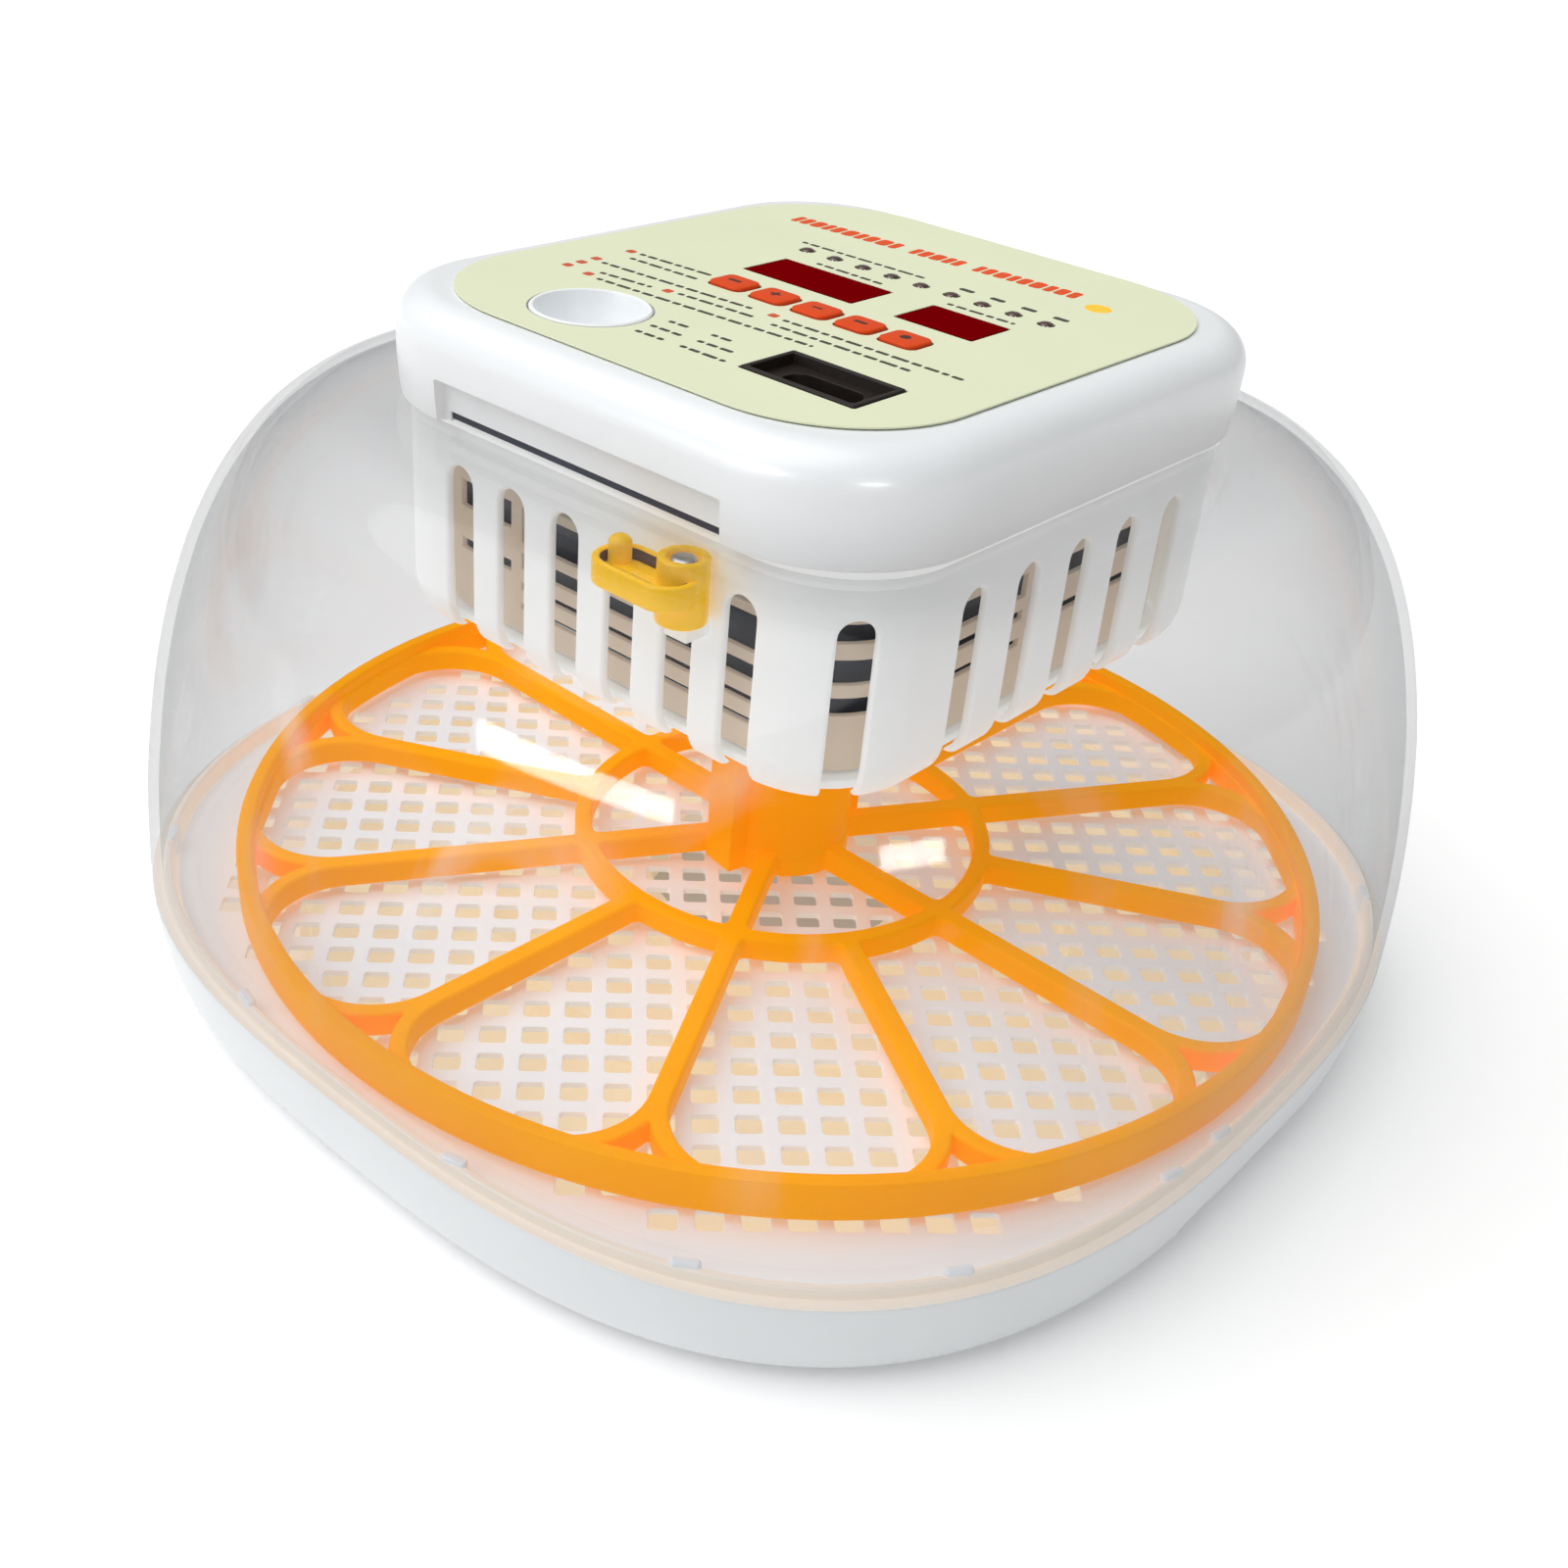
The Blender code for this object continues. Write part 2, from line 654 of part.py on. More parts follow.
def build_lid():
    """The white lid with its rounded edge, the notch over the lever and the panel's holes."""
    rings = [ring_rounded(shrink(LID_OUTER, 0.9), LID_BOTTOM)]
    rings.append(ring_rounded(LID_OUTER, LID_BOTTOM + 6.0))
    for k in range(5):
        t = math.radians(22.5 * k)
        back = LID_ROUND * (1.0 - math.cos(t))
        rise = LID_ROUND * math.sin(t)
        rings.append(ring_rounded(shrink(LID_OUTER, back), LID_TOP - LID_ROUND + rise))
    rings.append(ring_rounded(shrink(LID_INNER, 4.0), LID_TOP - 2.4))
    rings.append(ring_rounded(LID_INNER, LID_TOP - 5.5))
    rings.append(ring_rounded(LID_INNER, LID_BOTTOM))
    top = rings[:7]
    inner = rings[7:]
    bm = bmesh.new()
    rows = [[bm.verts.new(p) for p in ring] for ring in top + inner]
    count = PLAN_SEGMENTS
    for low, high in zip(rows[:-1], rows[1:]):
        if low is rows[6]:
            continue
        for i in range(count):
            j = (i + 1) % count
            bm.faces.new((low[i], low[j], high[j], high[i]))
    bm.faces.new(rows[6])
    bm.faces.new(rows[7])
    for i in range(count):
        j = (i + 1) % count
        bm.faces.new((rows[-1][i], rows[-1][j], rows[0][j], rows[0][i]))
    lid = finish("lid_shell", bm, WHITE, (0, 0, 0), 30.0)
    low = (-NOTCH_HALF, -80.0, LID_BOTTOM - 3.0)
    notch = box("cut_notch", low, (NOTCH_HALF, NOTCH_DEPTH_Y, NOTCH_TOP), None)
    low = (-NOTCH_HALF + 1.5, -76.0, LID_BOTTOM - 2.0)
    skirt = box("cut_skirt", low, (NOTCH_HALF - 1.5, -60.0, 130.5), None)
    holes = prism("cut_panel", panel_holes(0.3), LID_TOP - 8.0, LID_TOP + 3.0, None, smooth=None)
    cut(lid, notch, skirt, holes)
    label = loft(
        "panel_label",
        [ring_rounded(LABEL, LABEL_BOTTOM), ring_rounded(LABEL, LABEL_TOP)],
        LABEL_GREEN,
        smooth=None,
    )
    holes = prism("cut_label", panel_holes(0.35), LABEL_BOTTOM - 2.0, LABEL_TOP + 2.0, None, smooth=None)
    cut(label, holes)


def build_panel():
    """Windows, lamps, keys, mains inlet and water filler of the panel, and the board below."""
    for digits, (x, y, width, depth), back in ((3, DISPLAY_A, 25.4), (2, DISPLAY_B, 16.0)):
        window = rectangle(x, y, width, depth)
        prism(f"display_window_{digits}", [window], 147.0, LABEL_TOP + 0.1, RED_LENS, smooth=None)
        module = rectangle(x, y, back, 12.0)
        prism(f"display_module_{digits}", [module], 139.2, 146.0, BLACK, smooth=None)
    box("display_board", (-34.0, -20.0, 137.2), (40.0, 28.0, 138.8), BOARD)
    for k in range(5):
        x = BUTTON_FIRST[0] + BUTTON_PITCH * k
        y = BUTTON_FIRST[1]
        w = BUTTON_SIZE[0]
        d = BUTTON_SIZE[1]
        rings = [
            [(px, py, 145.6) for px, py in rounded(x, y, w, d, 1.6, 2)],
            [(px, py, LABEL_TOP + 0.45) for px, py in rounded(x, y, w, d, 1.6, 2)],
            [(px, py, LABEL_TOP + 0.8) for px, py in rounded(x, y, w - 0.7, d - 0.7, 1.3, 2)],
        ]
        loft(f"button_{k + 1}", rings, BUTTON_RED, origin=(x, y, LABEL_TOP))
    for k in range(9):
        middle = (LED_FIRST[0] + LED_PITCH * k, LED_FIRST[1])
        rings = [
            ring_circle(LED_RADIUS, 145.0, 8, middle),
            ring_circle(LED_RADIUS, LABEL_TOP + 0.1, 8, middle),
            ring_circle(LED_RADIUS * 0.55, LABEL_TOP + 0.45, 8, middle),
        ]
        loft(f"led_lens_{k + 1}", rings, LED_DARK)
    x, y, width, depth = INLET
    face = rectangle(x, y, width, depth)
    inlet = prism("mains_inlet", [face], 130.6, LABEL_TOP + 0.3, BLACK, smooth=None)
    socket = rounded(x, y, 16.4, 8.8, 4.35, 4)
    cut(inlet, prism("cut_socket", [socket], 137.4, LABEL_TOP + 3.0, None))
    for side in (-1, 1):
        middle = (x + side * 4.3, y)
        rings = [
            ring_circle(1.2, 137.7, 12, middle),
            ring_circle(1.2, 145.6, 12, middle),
            ring_circle(0.6, 146.4, 12, middle),
        ]
        loft(f"inlet_pin_{'left' if side < 0 else 'right'}", rings, PIN_METAL)
    levels = [
        (FUNNEL_RADIUS + 0.9, LABEL_TOP + 0.25),
        (FUNNEL_RADIUS, LABEL_TOP + 0.25),
        (FUNNEL_RADIUS - 0.5, 143.0),
        (8.2, 137.0),
        (3.9, 131.0),
        (3.7, 86.2),
        (5.2, 86.2),
        (5.4, 130.0),
        (9.8, 135.6),
        (FUNNEL_RADIUS + 0.9, 142.0),
    ]
    loft("water_filler", [ring_circle(r, z, 20, FUNNEL) for r, z in levels], WHITE, loop=True)


def build_lever():
    """The yellow vent lever: a dish and an upright finger on a pivot boss, with its screw and bracket."""
    px, py = LEVER_PIVOT
    place = (px, py, LEVER_BOSS[1])
    cx, cy, width, depth, corner = LEVER_DISH
    low, floor, top = LEVER_DISH_Z
    lever = prism("vent_lever", [rounded(cx, cy, width, depth, corner, 5)], low, top, YELLOW, place)
    narrow = 2.0 * LEVER_WALL
    hollow = rounded(cx, cy, width - narrow, depth - narrow, corner - LEVER_WALL, 5)
    cut(lever, prism("cut_lever_dish", [hollow], floor, top + 2.0, None, smooth=None))
    fx, fy, radius, tip = LEVER_FINGER
    join(
        lever,
        prism("add_lever_boss", [circle(px, py, LEVER_BOSS[0], 20)], *LEVER_BOSS[1:], YELLOW, place),
        prism("add_lever_finger", [circle(fx, fy, radius, 14)], low + 0.7, tip, YELLOW, place),
    )
    recess = circle(px, py, SCREW_RECESS[0], 16)
    cut(lever, prism("cut_screw_recess", [recess], SCREW_RECESS[1], 130.0, None, smooth=None))
    radius, under, head = SCREW_HEAD
    rings = [ring_circle(radius, under, 12, LEVER_PIVOT), ring_circle(radius, head - 0.4, 12, LEVER_PIVOT)]
    rings.append(ring_circle(radius * 0.6, head, 12, LEVER_PIVOT))
    loft("vent_lever_screw", rings, STEEL, origin=place)
    box("vent_lever_bracket", (px - 2.6, py - 1.2, 109.9), (px + 2.6, -65.9, 112.6), WHITE)


def build_inside():
    """Fan, heater, motor, drive shaft, guard, boards, probe and screws."""
    low = FAN_BOTTOM
    square = rounded(0, 0, 2 * FAN_HALF, 2 * FAN_HALF, 4.0)
    frame = prism("fan_frame", [square], low, FAN_TOP, MOTOR_BLACK)
    cut(frame, prism("cut_fan", [circle(0, 0, FAN_BORE, 32)], low - 2.0, FAN_TOP + 2.0, None))
    length = 2 * FAN_BORE + 4.0
    arms = prism("add_arms", [rectangle(0, 0, length, 4.0)], low + 0.1, low + 1.6, None)
    cross = prism("add_cross", [rectangle(0, 0, 4.0, length)], low + 0.2, low + 1.7, None)
    seat = prism("add_seat", [circle(0, 0, 12.0, 20)], low + 0.05, low + 1.9, None)
    join(frame, arms, cross, seat)
    rotor = loft("fan_rotor", [ring_circle(11.5, 108.4, 20), ring_circle(11.5, 118.6, 20)], MOTOR_BLACK)
    bm = bmesh.new()
    for k in range(7):
        rings = []
        for radius, low, lean in ((10.8, 109.0, 6.0), (25.8, 109.4, 9.0)):
            ring = []
            for u, z in ((-lean, low), (-lean + 1.2, low), (lean, low + 8.6), (lean - 1.2, low + 8.6)):
                half = math.asin(max(-0.9, min(0.9, u * 0.62 / radius)))
                t = 2.0 * math.pi * k / 7.0 + half
                ring.append((radius * math.cos(t), radius * math.sin(t), z))
            rings.append(ring)
        add_loft(bm, rings, False)
    join(rotor, finish("add_blades", bm, MOTOR_BLACK, (0, 0, 0), None))
    rings = []
    for t in angles(6):
        rings.append(ring_circle(36.5 + 2.0 * math.cos(t), 95.5 + 2.0 * math.sin(t), 24))
    loft("heater_ring", rings, HEATER, loop=True, smooth=60.0)
    motor = [
        ring_circle(MOTOR_RADIUS - 1.0, 87.4, 24),
        ring_circle(MOTOR_RADIUS, 88.4, 24),
        ring_circle(MOTOR_RADIUS, 102.0, 24),
        ring_circle(MOTOR_RADIUS - 1.5, 103.4, 24),
    ]
    loft("turning_motor", motor, STEEL)
    loft(
        "drive_shaft",
        [
            ring_circle(7.2, 54.0, 6),
            ring_circle(7.2, 72.0, 6),
            ring_circle(3.0, 72.4, 6),
            ring_circle(3.0, 87.0, 6),
        ],
        WHITE,
        smooth=None,
    )
    build_guard()
    box("power_board", (-34.0, 52.6, 92.0), (34.0, 54.2, 122.0), BOARD)
    box("transformer", (-12.0, 37.0, 99.0), (14.0, 52.2, 116.0), MOTOR_BLACK)
    probe = (6.0, 55.0)
    rings = [
        ring_circle(1.0, 66.0, 12, probe),
        ring_circle(2.2, 67.2, 12, probe),
        ring_circle(2.2, 78.0, 12, probe),
        ring_circle(3.4, 78.4, 12, probe),
        ring_circle(3.4, CAGE_BOTTOM - GAP, 12, probe),
    ]
    loft("climate_probe", rings, PIN_METAL)
    for i, (sx, sy) in enumerate(((1, 1), (-1, 1), (-1, -1), (1, -1))):
        middle = (sx * 41.5, sy * 45.0)
        rings = [
            ring_circle(2.2, CAGE_BOTTOM - 2.0, 12, middle),
            ring_circle(3.0, CAGE_BOTTOM - GAP, 12, middle),
        ]
        loft(f"cage_screw_{i + 1}", rings, STEEL)


def build_guard():
    """The round white guard under the fan, with the hole the drive shaft hangs through."""
    z = GUARD_BOTTOM
    levels = [
        (19.0, z),
        (GUARD_RADIUS, z),
        (GUARD_RADIUS, z + 1.8),
        (48.4, z + 2.2),
        (48.4, CAGE_BOTTOM - GAP),
        (46.4, CAGE_BOTTOM - GAP),
        (46.4, z + 2.0),
        (19.0, z + 2.0),
    ]
    guard = loft("fan_guard", [ring_circle(r, h, 28) for r, h in levels], WHITE, loop=True)
    slots = []
    for k in range(10):
        slots.append(turned(rounded(33.0, 0.0, 20.0, 6.0, 2.6, 1), 36.0 * k + 18.0))
    drip = circle(*FUNNEL, 3.1, 12)
    cut(guard, prism("cut_guard", slots, z - 2.0, z + 3.5, None))
    cut(guard, prism("cut_guard_drip", [drip], z - 2.0, CAGE_BOTTOM + 2.0, None))


build_base()
build_turner()
build_dome()
build_cage()
build_lid()
build_panel()
build_lever()
build_inside()
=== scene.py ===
"""Looks of a tabletop egg incubator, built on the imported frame.

Every length below is in millimetres in the frame's own axes and becomes metres when a piece is made.
"""
import math

import bmesh
import bpy
from mathutils import Matrix, Vector


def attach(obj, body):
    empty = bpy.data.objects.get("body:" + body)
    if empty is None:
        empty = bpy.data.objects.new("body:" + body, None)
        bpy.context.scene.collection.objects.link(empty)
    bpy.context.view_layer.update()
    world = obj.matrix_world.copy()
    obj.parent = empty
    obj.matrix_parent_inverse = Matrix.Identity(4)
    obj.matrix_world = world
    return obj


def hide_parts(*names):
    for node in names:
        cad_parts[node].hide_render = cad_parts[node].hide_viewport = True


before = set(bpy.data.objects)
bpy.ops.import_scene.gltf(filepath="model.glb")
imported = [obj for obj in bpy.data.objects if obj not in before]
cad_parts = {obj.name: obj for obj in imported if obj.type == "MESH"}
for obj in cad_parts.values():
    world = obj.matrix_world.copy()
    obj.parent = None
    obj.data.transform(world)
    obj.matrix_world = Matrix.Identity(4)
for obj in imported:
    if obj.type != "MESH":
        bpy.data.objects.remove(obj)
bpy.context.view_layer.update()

MM = 0.001
SEGMENTS = 192

# Plan shape of the tub, the grate and the dome.
PLAN_POWER = 2.75
SEAM_Z = 22.0
TUB_HALF = 126.4
GRATE_HALF = 121.6
GRATE_Z = (18.6, 21.4)
GRATE_PITCH = 8.12
GRATE_HOLE = (5.1, 4.9)
GRATE_REACH = 116.6

# Tub: half width and height, up the outside, over the seam and down the inside.
TUB_PROFILE = (
    (60.0, 1.9), (116.0, 1.9), (118.8, 2.1), (120.9, 2.7), (122.4, 3.6), (123.4, 4.8),
    (124.1, 6.4), (124.8, 8.6), (125.4, 11.4), (125.9, 15.0), (126.25, 18.6), (TUB_HALF, 21.5),
    (126.2, SEAM_Z), (124.05, SEAM_Z), (123.95, SEAM_Z + 2.1), (123.6, SEAM_Z + 2.4),
    (122.9, SEAM_Z + 2.4), (122.5, SEAM_Z + 2.0), (122.3, 17.2), (121.6, 9.0), (120.0, 6.0),
    (117.6, 4.4), (60.0, 4.4),
)
TUB_OUTSIDE_LEVELS = 12
GRIP_DEPTH = 5.0
GRIP_HALF_LENGTH = 46.0
GRIP_TOP = 12.6
GRIP_EDGE = 126.2
GRIP_WALL = 1.2
NUB_SIZE = (2.0, 5.4, 0.9)
NUB_HALF = 122.7
NUB_DEGREES = (255.4, 283.8, 304.2, 324.0, 345.5, 353.0, 38.0, 75.0, 104.0, 128.0, 160.0, 200.0, 228.0)

# Egg turner.
TURNER_RADIUS = 120.0
TURNER_BAND = 3.8
TURNER_Z = (23.2, 32.0)
SPOKE_TOP = 29.0
SPOKE_WIDTH = 4.4
PETALS = 12
PETAL_CORNER = 16.0
BRANCH_WIDTH = 3.6
INNER_RING = (43.6, 47.4)
SPOKE_START_DEG = -2.0
HUB_RADIUS = 14.6
HUB_TOP = 70.0
HUB_BORE = 8.2
HUB_LUG_DEG = 259.0
HUB_LUG = (12.5, 18.6, 9.0)

# Dome: half width, height and how far the plan has turned into the top opening's.
DOME_PROFILE = (
    (126.4, 22.3, 0.0), (126.1, 32.0, 0.0), (125.2, 45.0, 0.0), (123.6, 58.0, 0.0),
    (121.2, 72.0, 0.0), (118.0, 85.0, 0.0), (113.8, 97.5, 0.0), (108.6, 108.4, 0.0),
    (102.2, 117.6, 0.02), (96.0, 123.2, 0.1), (89.0, 126.9, 0.3), (80.0, 128.2, 0.65),
    (71.0, 127.9, 0.9), (64.6, 127.4, 1.0),
)
DOME_WALL = 2.0
OPENING = (62.9, 66.4, 22.5)
# Heights in metres between which the dome's haze fades in, and out again.
HAZE_BELT = ((0.035, 0.08), (0.121, 0.108))

# Control unit. A rounded box is its half width, half depth and corner radius.
CAGE_OUTER = (62.0, 65.5, 22.0)
CAGE_Z = (83.2, 129.7)
CAGE_WALL = 2.0
SLOT_WIDTH = 7.0
SLOT_TOP = 119.2
SLOTS_FRONT = (-34.0, 14.35, 6)
SLOTS_SIDE = (-31.0, 16.7, 5)
LINER_OUTER = (55.4, 58.8, 17.4)
LINER_Z = (86.2, 127.0)
LINER_ROWS = ((97.4, 100.8), (103.4, 108.2), (111.4, 115.0))
LINER_ROWS_FRONT = ((91.4, 92.6), (95.6, 97.0), (100.0, 103.2), (105.6, 112.6), (114.6, 118.4))
LINER_ROWS_FRONT_END = ((98.4, 100.6), (107.4, 112.8))
LINER_ROWS_RIGHT = ((96.8, 98.4), (102.4, 104.4), (107.2, 112.0))
LINER_ROWS_RIGHT_BACK = ((99.6, 101.6), (107.2, 111.6))
# A wall is bent from a flat plate, cut across at these places.
BEND_START = 1.5
BEND_PITCH = 2.2
FOOT_CUTS = (1.0, 2.2, 3.6, 5.4, 7.4)
LID_OUTER = (65.0, 70.0, 29.0)
LID_INNER = (62.4, 65.9, 22.4)
LID_Z = (128.6, 148.8)
LID_ROUND = 7.0
LABEL = (56.2, 62.6, 28.0)
LABEL_Z = (149.05, 149.4)
NOTCH_HALF = 35.5
NOTCH_TOP = 136.8
NOTCH_Y = -67.2
NOTCH_FRONT_Y = -82.0
# Heights of the dark strip that paints the shadow in the gap under the notch.
GAP_SHADOW_Z = (129.0, 130.45)
SKIRT_TOP = 130.5

# Panel features: middle and size.
DISPLAYS = {
    "display_window_3": (-9.0, 5.4, 27.5, 12.9),
    "display_window_2": (24.0, 5.8, 17.7, 12.4),
}
BUTTON_FIRST = (-16.2, -11.1)
BUTTON_PITCH = 10.5
BUTTON_SIZE = (8.2, 7.4)
LED_FIRST = (-24.7, 20.8)
LED_PITCH = 7.5
LED_RADIUS = 1.45
INLET = (30.3, -39.9, 25.2, 14.2)
FUNNEL = (-20.9, -45.0)
FUNNEL_RADIUS = 10.5

# Plain marks on the panel: lines of dashes from one point to the other, and dots.
TITLE_SPANS = ((-43.5, -15.5), (-12.0, 0.5), (4.0, 28.5))
TITLE_Y = 38.9
TITLE_LEAN = 0.054
NOTE_ROWS = (
    (-41.4, -11.8, -23.0, -10.6), (-40.4, -15.6, -22.8, -14.9), (-41.2, -22.6, -3.0, -20.2),
    (-36.3, -27.8, -23.8, -26.4), (-18.0, -25.0, 0.0, -23.9), (-33.7, -31.2, 18.0, -28.0),
    (4.6, -20.6, 46.0, -20.0), (5.0, -24.4, 37.0, -24.0), (-6.9, -38.9, -1.7, -38.6),
    (-7.1, -43.4, 0.2, -43.2), (-6.5, -47.8, 0.1, -47.6), (3.0, -38.2, 7.8, -38.0),
    (3.9, -42.8, 11.9, -42.4), (4.1, -47.4, 14.5, -47.2), (-17.0, 14.7, 0.1, 14.5),
    (16.0, 15.1, 31.7, 15.4), (-29.5, 24.9, 3.5, 25.6),
)
POINT_PLACES = (
    (-43.8, -12.0), (-43.8, -21.7), (-43.6, -25.9), (-43.6, -29.6),
    (-36.9, -30.4), (-20.3, -25.5), (1.7, -20.0),
)
BADGE = (35.6, 38.8, 2.7)

# Fan guard.
GUARD_Z = 75.6

# Vent lever: places, sizes and heights.
LEVER_PIVOT = (29.0, -70.4)
LEVER_BOSS = (4.6, 113.0, 125.0)
LEVER_DISH = (23.7, -74.05, 21.0, 11.0, 5.4)
LEVER_DISH_Z = (117.4, 120.0, 122.4)
LEVER_WALL = 1.4
LEVER_FINGER = (16.0, -72.4, 2.1, 124.9)
SCREW_RECESS = (3.0, 123.6)
SCREW_HEAD = (2.3, 123.9, 124.8)

# Stage, in metres: floor, a wide soft light from above, and the lamps that give the dome its highlights
# (name, place, aim, size, watts and roll in degrees).
FLOOR_RADII = (0.4, 5.4)
FLOOR_Z = -0.0002
SKY_WAY = (0.32, 0.38, -1.0)
SKY_ANGLE = 70.0
SKY_STRENGTH = 2.4
STRIP_LAMPS = (
    ("front_strip", (-0.21, -0.935, 0.34), (0.045, -0.105, 0.107), (0.64, 0.1), 6.5, 14.5),
    ("right_strip", (0.82, -0.44, 0.38), (0.08, -0.08, 0.1), (0.26, 0.09), 2.4, 0.0),
)
WORLD_STRENGTH = 0.34

# Camera: where it stands, how it is turned, and its lens.
CAMERA_PLACE = (211.3, -269.8, 246.4)
CAMERA_AZIMUTH = 38.49
CAMERA_ELEVATION = 31.17
CAMERA_ROLL = 5.4
CAMERA_LENS = 40.74
CAMERA_SHIFT = (0.005, -0.0025)


# ---- outlines


def angles(count):
    """Evenly spaced angles, in radians."""
    return [2.0 * math.pi * i / count for i in range(count)]


def polar(r, t):
    """The point at a distance and an angle from the middle."""
    return r * math.cos(t), r * math.sin(t)


def super_radius(t, half):
    """Distance from the middle to a superellipse at angle t."""
    c = abs(math.cos(t))
    s = abs(math.sin(t))
    return half * (c**PLAN_POWER + s**PLAN_POWER) ** (-1.0 / PLAN_POWER)


def rounded_radius(t, hx, hy, corner):
    """Distance from the middle to a rounded rectangle at angle t."""
    c = abs(math.cos(t))
    s = abs(math.sin(t))
    flat = min(hx / max(c, 1e-9), hy / max(s, 1e-9))
    if flat * c <= hx - corner or flat * s <= hy - corner:
        return flat
    cx = hx - corner
    cy = hy - corner
    along = c * cx + s * cy
    return along + math.sqrt(max(corner**2 - (cx**2 + cy**2 - along**2), 0.0))


def shrink(size, by):
    """A rounded rectangle moved inwards all round."""
    return (size[0] - by, size[1] - by, max(size[2] - by, 0.5))


def circle(cx, cy, radius, count=48):
    """Points of a circle."""
    return [(cx + radius * math.cos(t), cy + radius * math.sin(t)) for t in angles(count)]


def super_outline(half):
    """Points of the tub's plan."""
    return [polar(super_radius(t, half), t) for t in angles(SEGMENTS)]


def rounded(cx, cy, width, depth, corner, steps=6):
    """Points of a rounded rectangle."""
    out = []
    for sx, sy, start in ((1, 1, 0), (-1, 1, 90), (-1, -1, 180), (1, -1, 270)):
        for k in range(steps + 1):
            t = math.radians(start + 90.0 * k / steps)
            x = cx + sx * (width / 2.0 - corner) + corner * math.cos(t)
            y = cy + sy * (depth / 2.0 - corner) + corner * math.sin(t)
            out.append((x, y))
    return out


def turned(points, degrees, middle=(0.0, 0.0)):
    """Points turned about a middle."""
    c = math.cos(math.radians(degrees))
    s = math.sin(math.radians(degrees))
    mx, my = middle
    return [(mx + (x - mx) * c - (y - my) * s, my + (x - mx) * s + (y - my) * c) for x, y in points]


def arc(cx, cy, radius, start, end, steps):
    """Points of an arc, from and to angles in degrees."""
    out = []
    for k in range(steps + 1):
        t = math.radians(start + (end - start) * k / steps)
        out.append((cx + radius * math.cos(t), cy + radius * math.sin(t)))
    return out


def filleted(points, radius, steps=4, least=20.0):
    """The outline with each corner sharper than least degrees rounded off."""
    out = []
    count = len(points)
    for i, here in enumerate(points):
        p = Vector(here)
        a = Vector(points[i - 1]) - p
        b = Vector(points[(i + 1) % count]) - p
        turn = 180.0 - math.degrees(a.angle(b))
        if turn < least:
            out.append(here)
            continue
        reach = min(radius * math.tan(math.radians(turn) / 2.0), 0.45 * a.length, 0.45 * b.length)
        first = p + a.normalized() * reach
        last = p + b.normalized() * reach
        for k in range(steps + 1):
            u = k / steps
            q = first * (1 - u) ** 2 + p * 2 * u * (1 - u) + last * u**2
            out.append((q.x, q.y))
    return out


def smooth_profile(profile, steps):
    """Points along a smooth curve through the profile's points."""
    out = []
    last = len(profile) - 1
    for i in range(last):
        p0, p1, p2, p3 = (profile[max(0, min(last, i + d))] for d in (-1, 0, 1, 2))
        for k in range(steps):
            u = k / steps
            point = []
            for a, b, c, d in zip(p0, p1, p2, p3):
                curve = (2 * a - 5 * b + 4 * c - d) * u**2 + (3 * b - a - 3 * c + d) * u**3
                point.append(0.5 * (2 * b + (c - a) * u + curve))
            out.append(tuple(point))
    out.append(profile[-1])
    return out


# ---- meshes


def add_band(bm, low, high, slot=0):
    """Joins two rings of vertices face by face."""
    for i, corner in enumerate(low):
        j = (i + 1) % len(low)
        bm.faces.new((corner, low[j], high[j], high[i])).material_index = slot


def add_loft(bm, rings, loop=False, caps=True, slots=None):
    """Joins rings in order. slots gives the material index of each band."""
    rows = [[bm.verts.new(p) for p in ring] for ring in rings]
    pairs = list(zip(rows[:-1], rows[1:]))
    if loop:
        pairs.append((rows[-1], rows[0]))
    for band, (low, high) in enumerate(pairs):
        add_band(bm, low, high, slots[band] if slots else 0)
    if not loop and caps:
        bm.faces.new(rows[0][::-1])
        bm.faces.new(rows[-1])


def add_cap_shell(bm, outside, inside):
    """A thick cap, open below: both skins listed from the rim up, each closed on top."""
    skins = [[[bm.verts.new(p) for p in ring] for ring in skin] for skin in (outside, inside)]
    pairs = [(skins[0][0], skins[1][0])]
    for rows in skins:
        pairs += list(zip(rows[:-1], rows[1:]))
        bm.faces.new(rows[-1])
    for low, high in pairs:
        add_band(bm, low, high)


def lathe(bm, profile, middle=(0.0, 0.0), count=64, loop=False):
    """Turns a profile of (radius, height) about an upright axis."""
    rings = [[(x, y, z) for x, y in circle(*middle, r, count)] for r, z in profile]
    add_loft(bm, rings, loop)


def rounded_ring(size, z, count=SEGMENTS):
    """One level of a rounded rectangle."""
    return [(*polar(rounded_radius(t, *size), t), z) for t in angles(count)]


def rounded_outline(size):
    """Points of a rounded rectangle about the middle."""
    return [(x, y) for x, y, _ in rounded_ring(size, 0.0)]


def super_ring(half, z):
    """One level of the tub's plan."""
    return [(x, y, z) for x, y in super_outline(half)]


def paint_from(bm, first, slot):
    """Puts the faces added since the first ones into another material slot."""
    bm.faces.ensure_lookup_table()
    for face in bm.faces[first:]:
        face.material_index = slot


def slice_at(bm, place, way, clear=False):
    """Cuts the mesh's faces along a plane, and drops what lies past it if clear is set."""
    geometry = bm.verts[:] + bm.edges[:] + bm.faces[:]
    bmesh.ops.bisect_plane(bm, geom=geometry, plane_co=place, plane_no=way, clear_outer=clear, dist=0.0005)


def add_object(name, data):
    """A new object in the scene."""
    obj = bpy.data.objects.new(name, data)
    bpy.context.collection.objects.link(obj)
    return obj


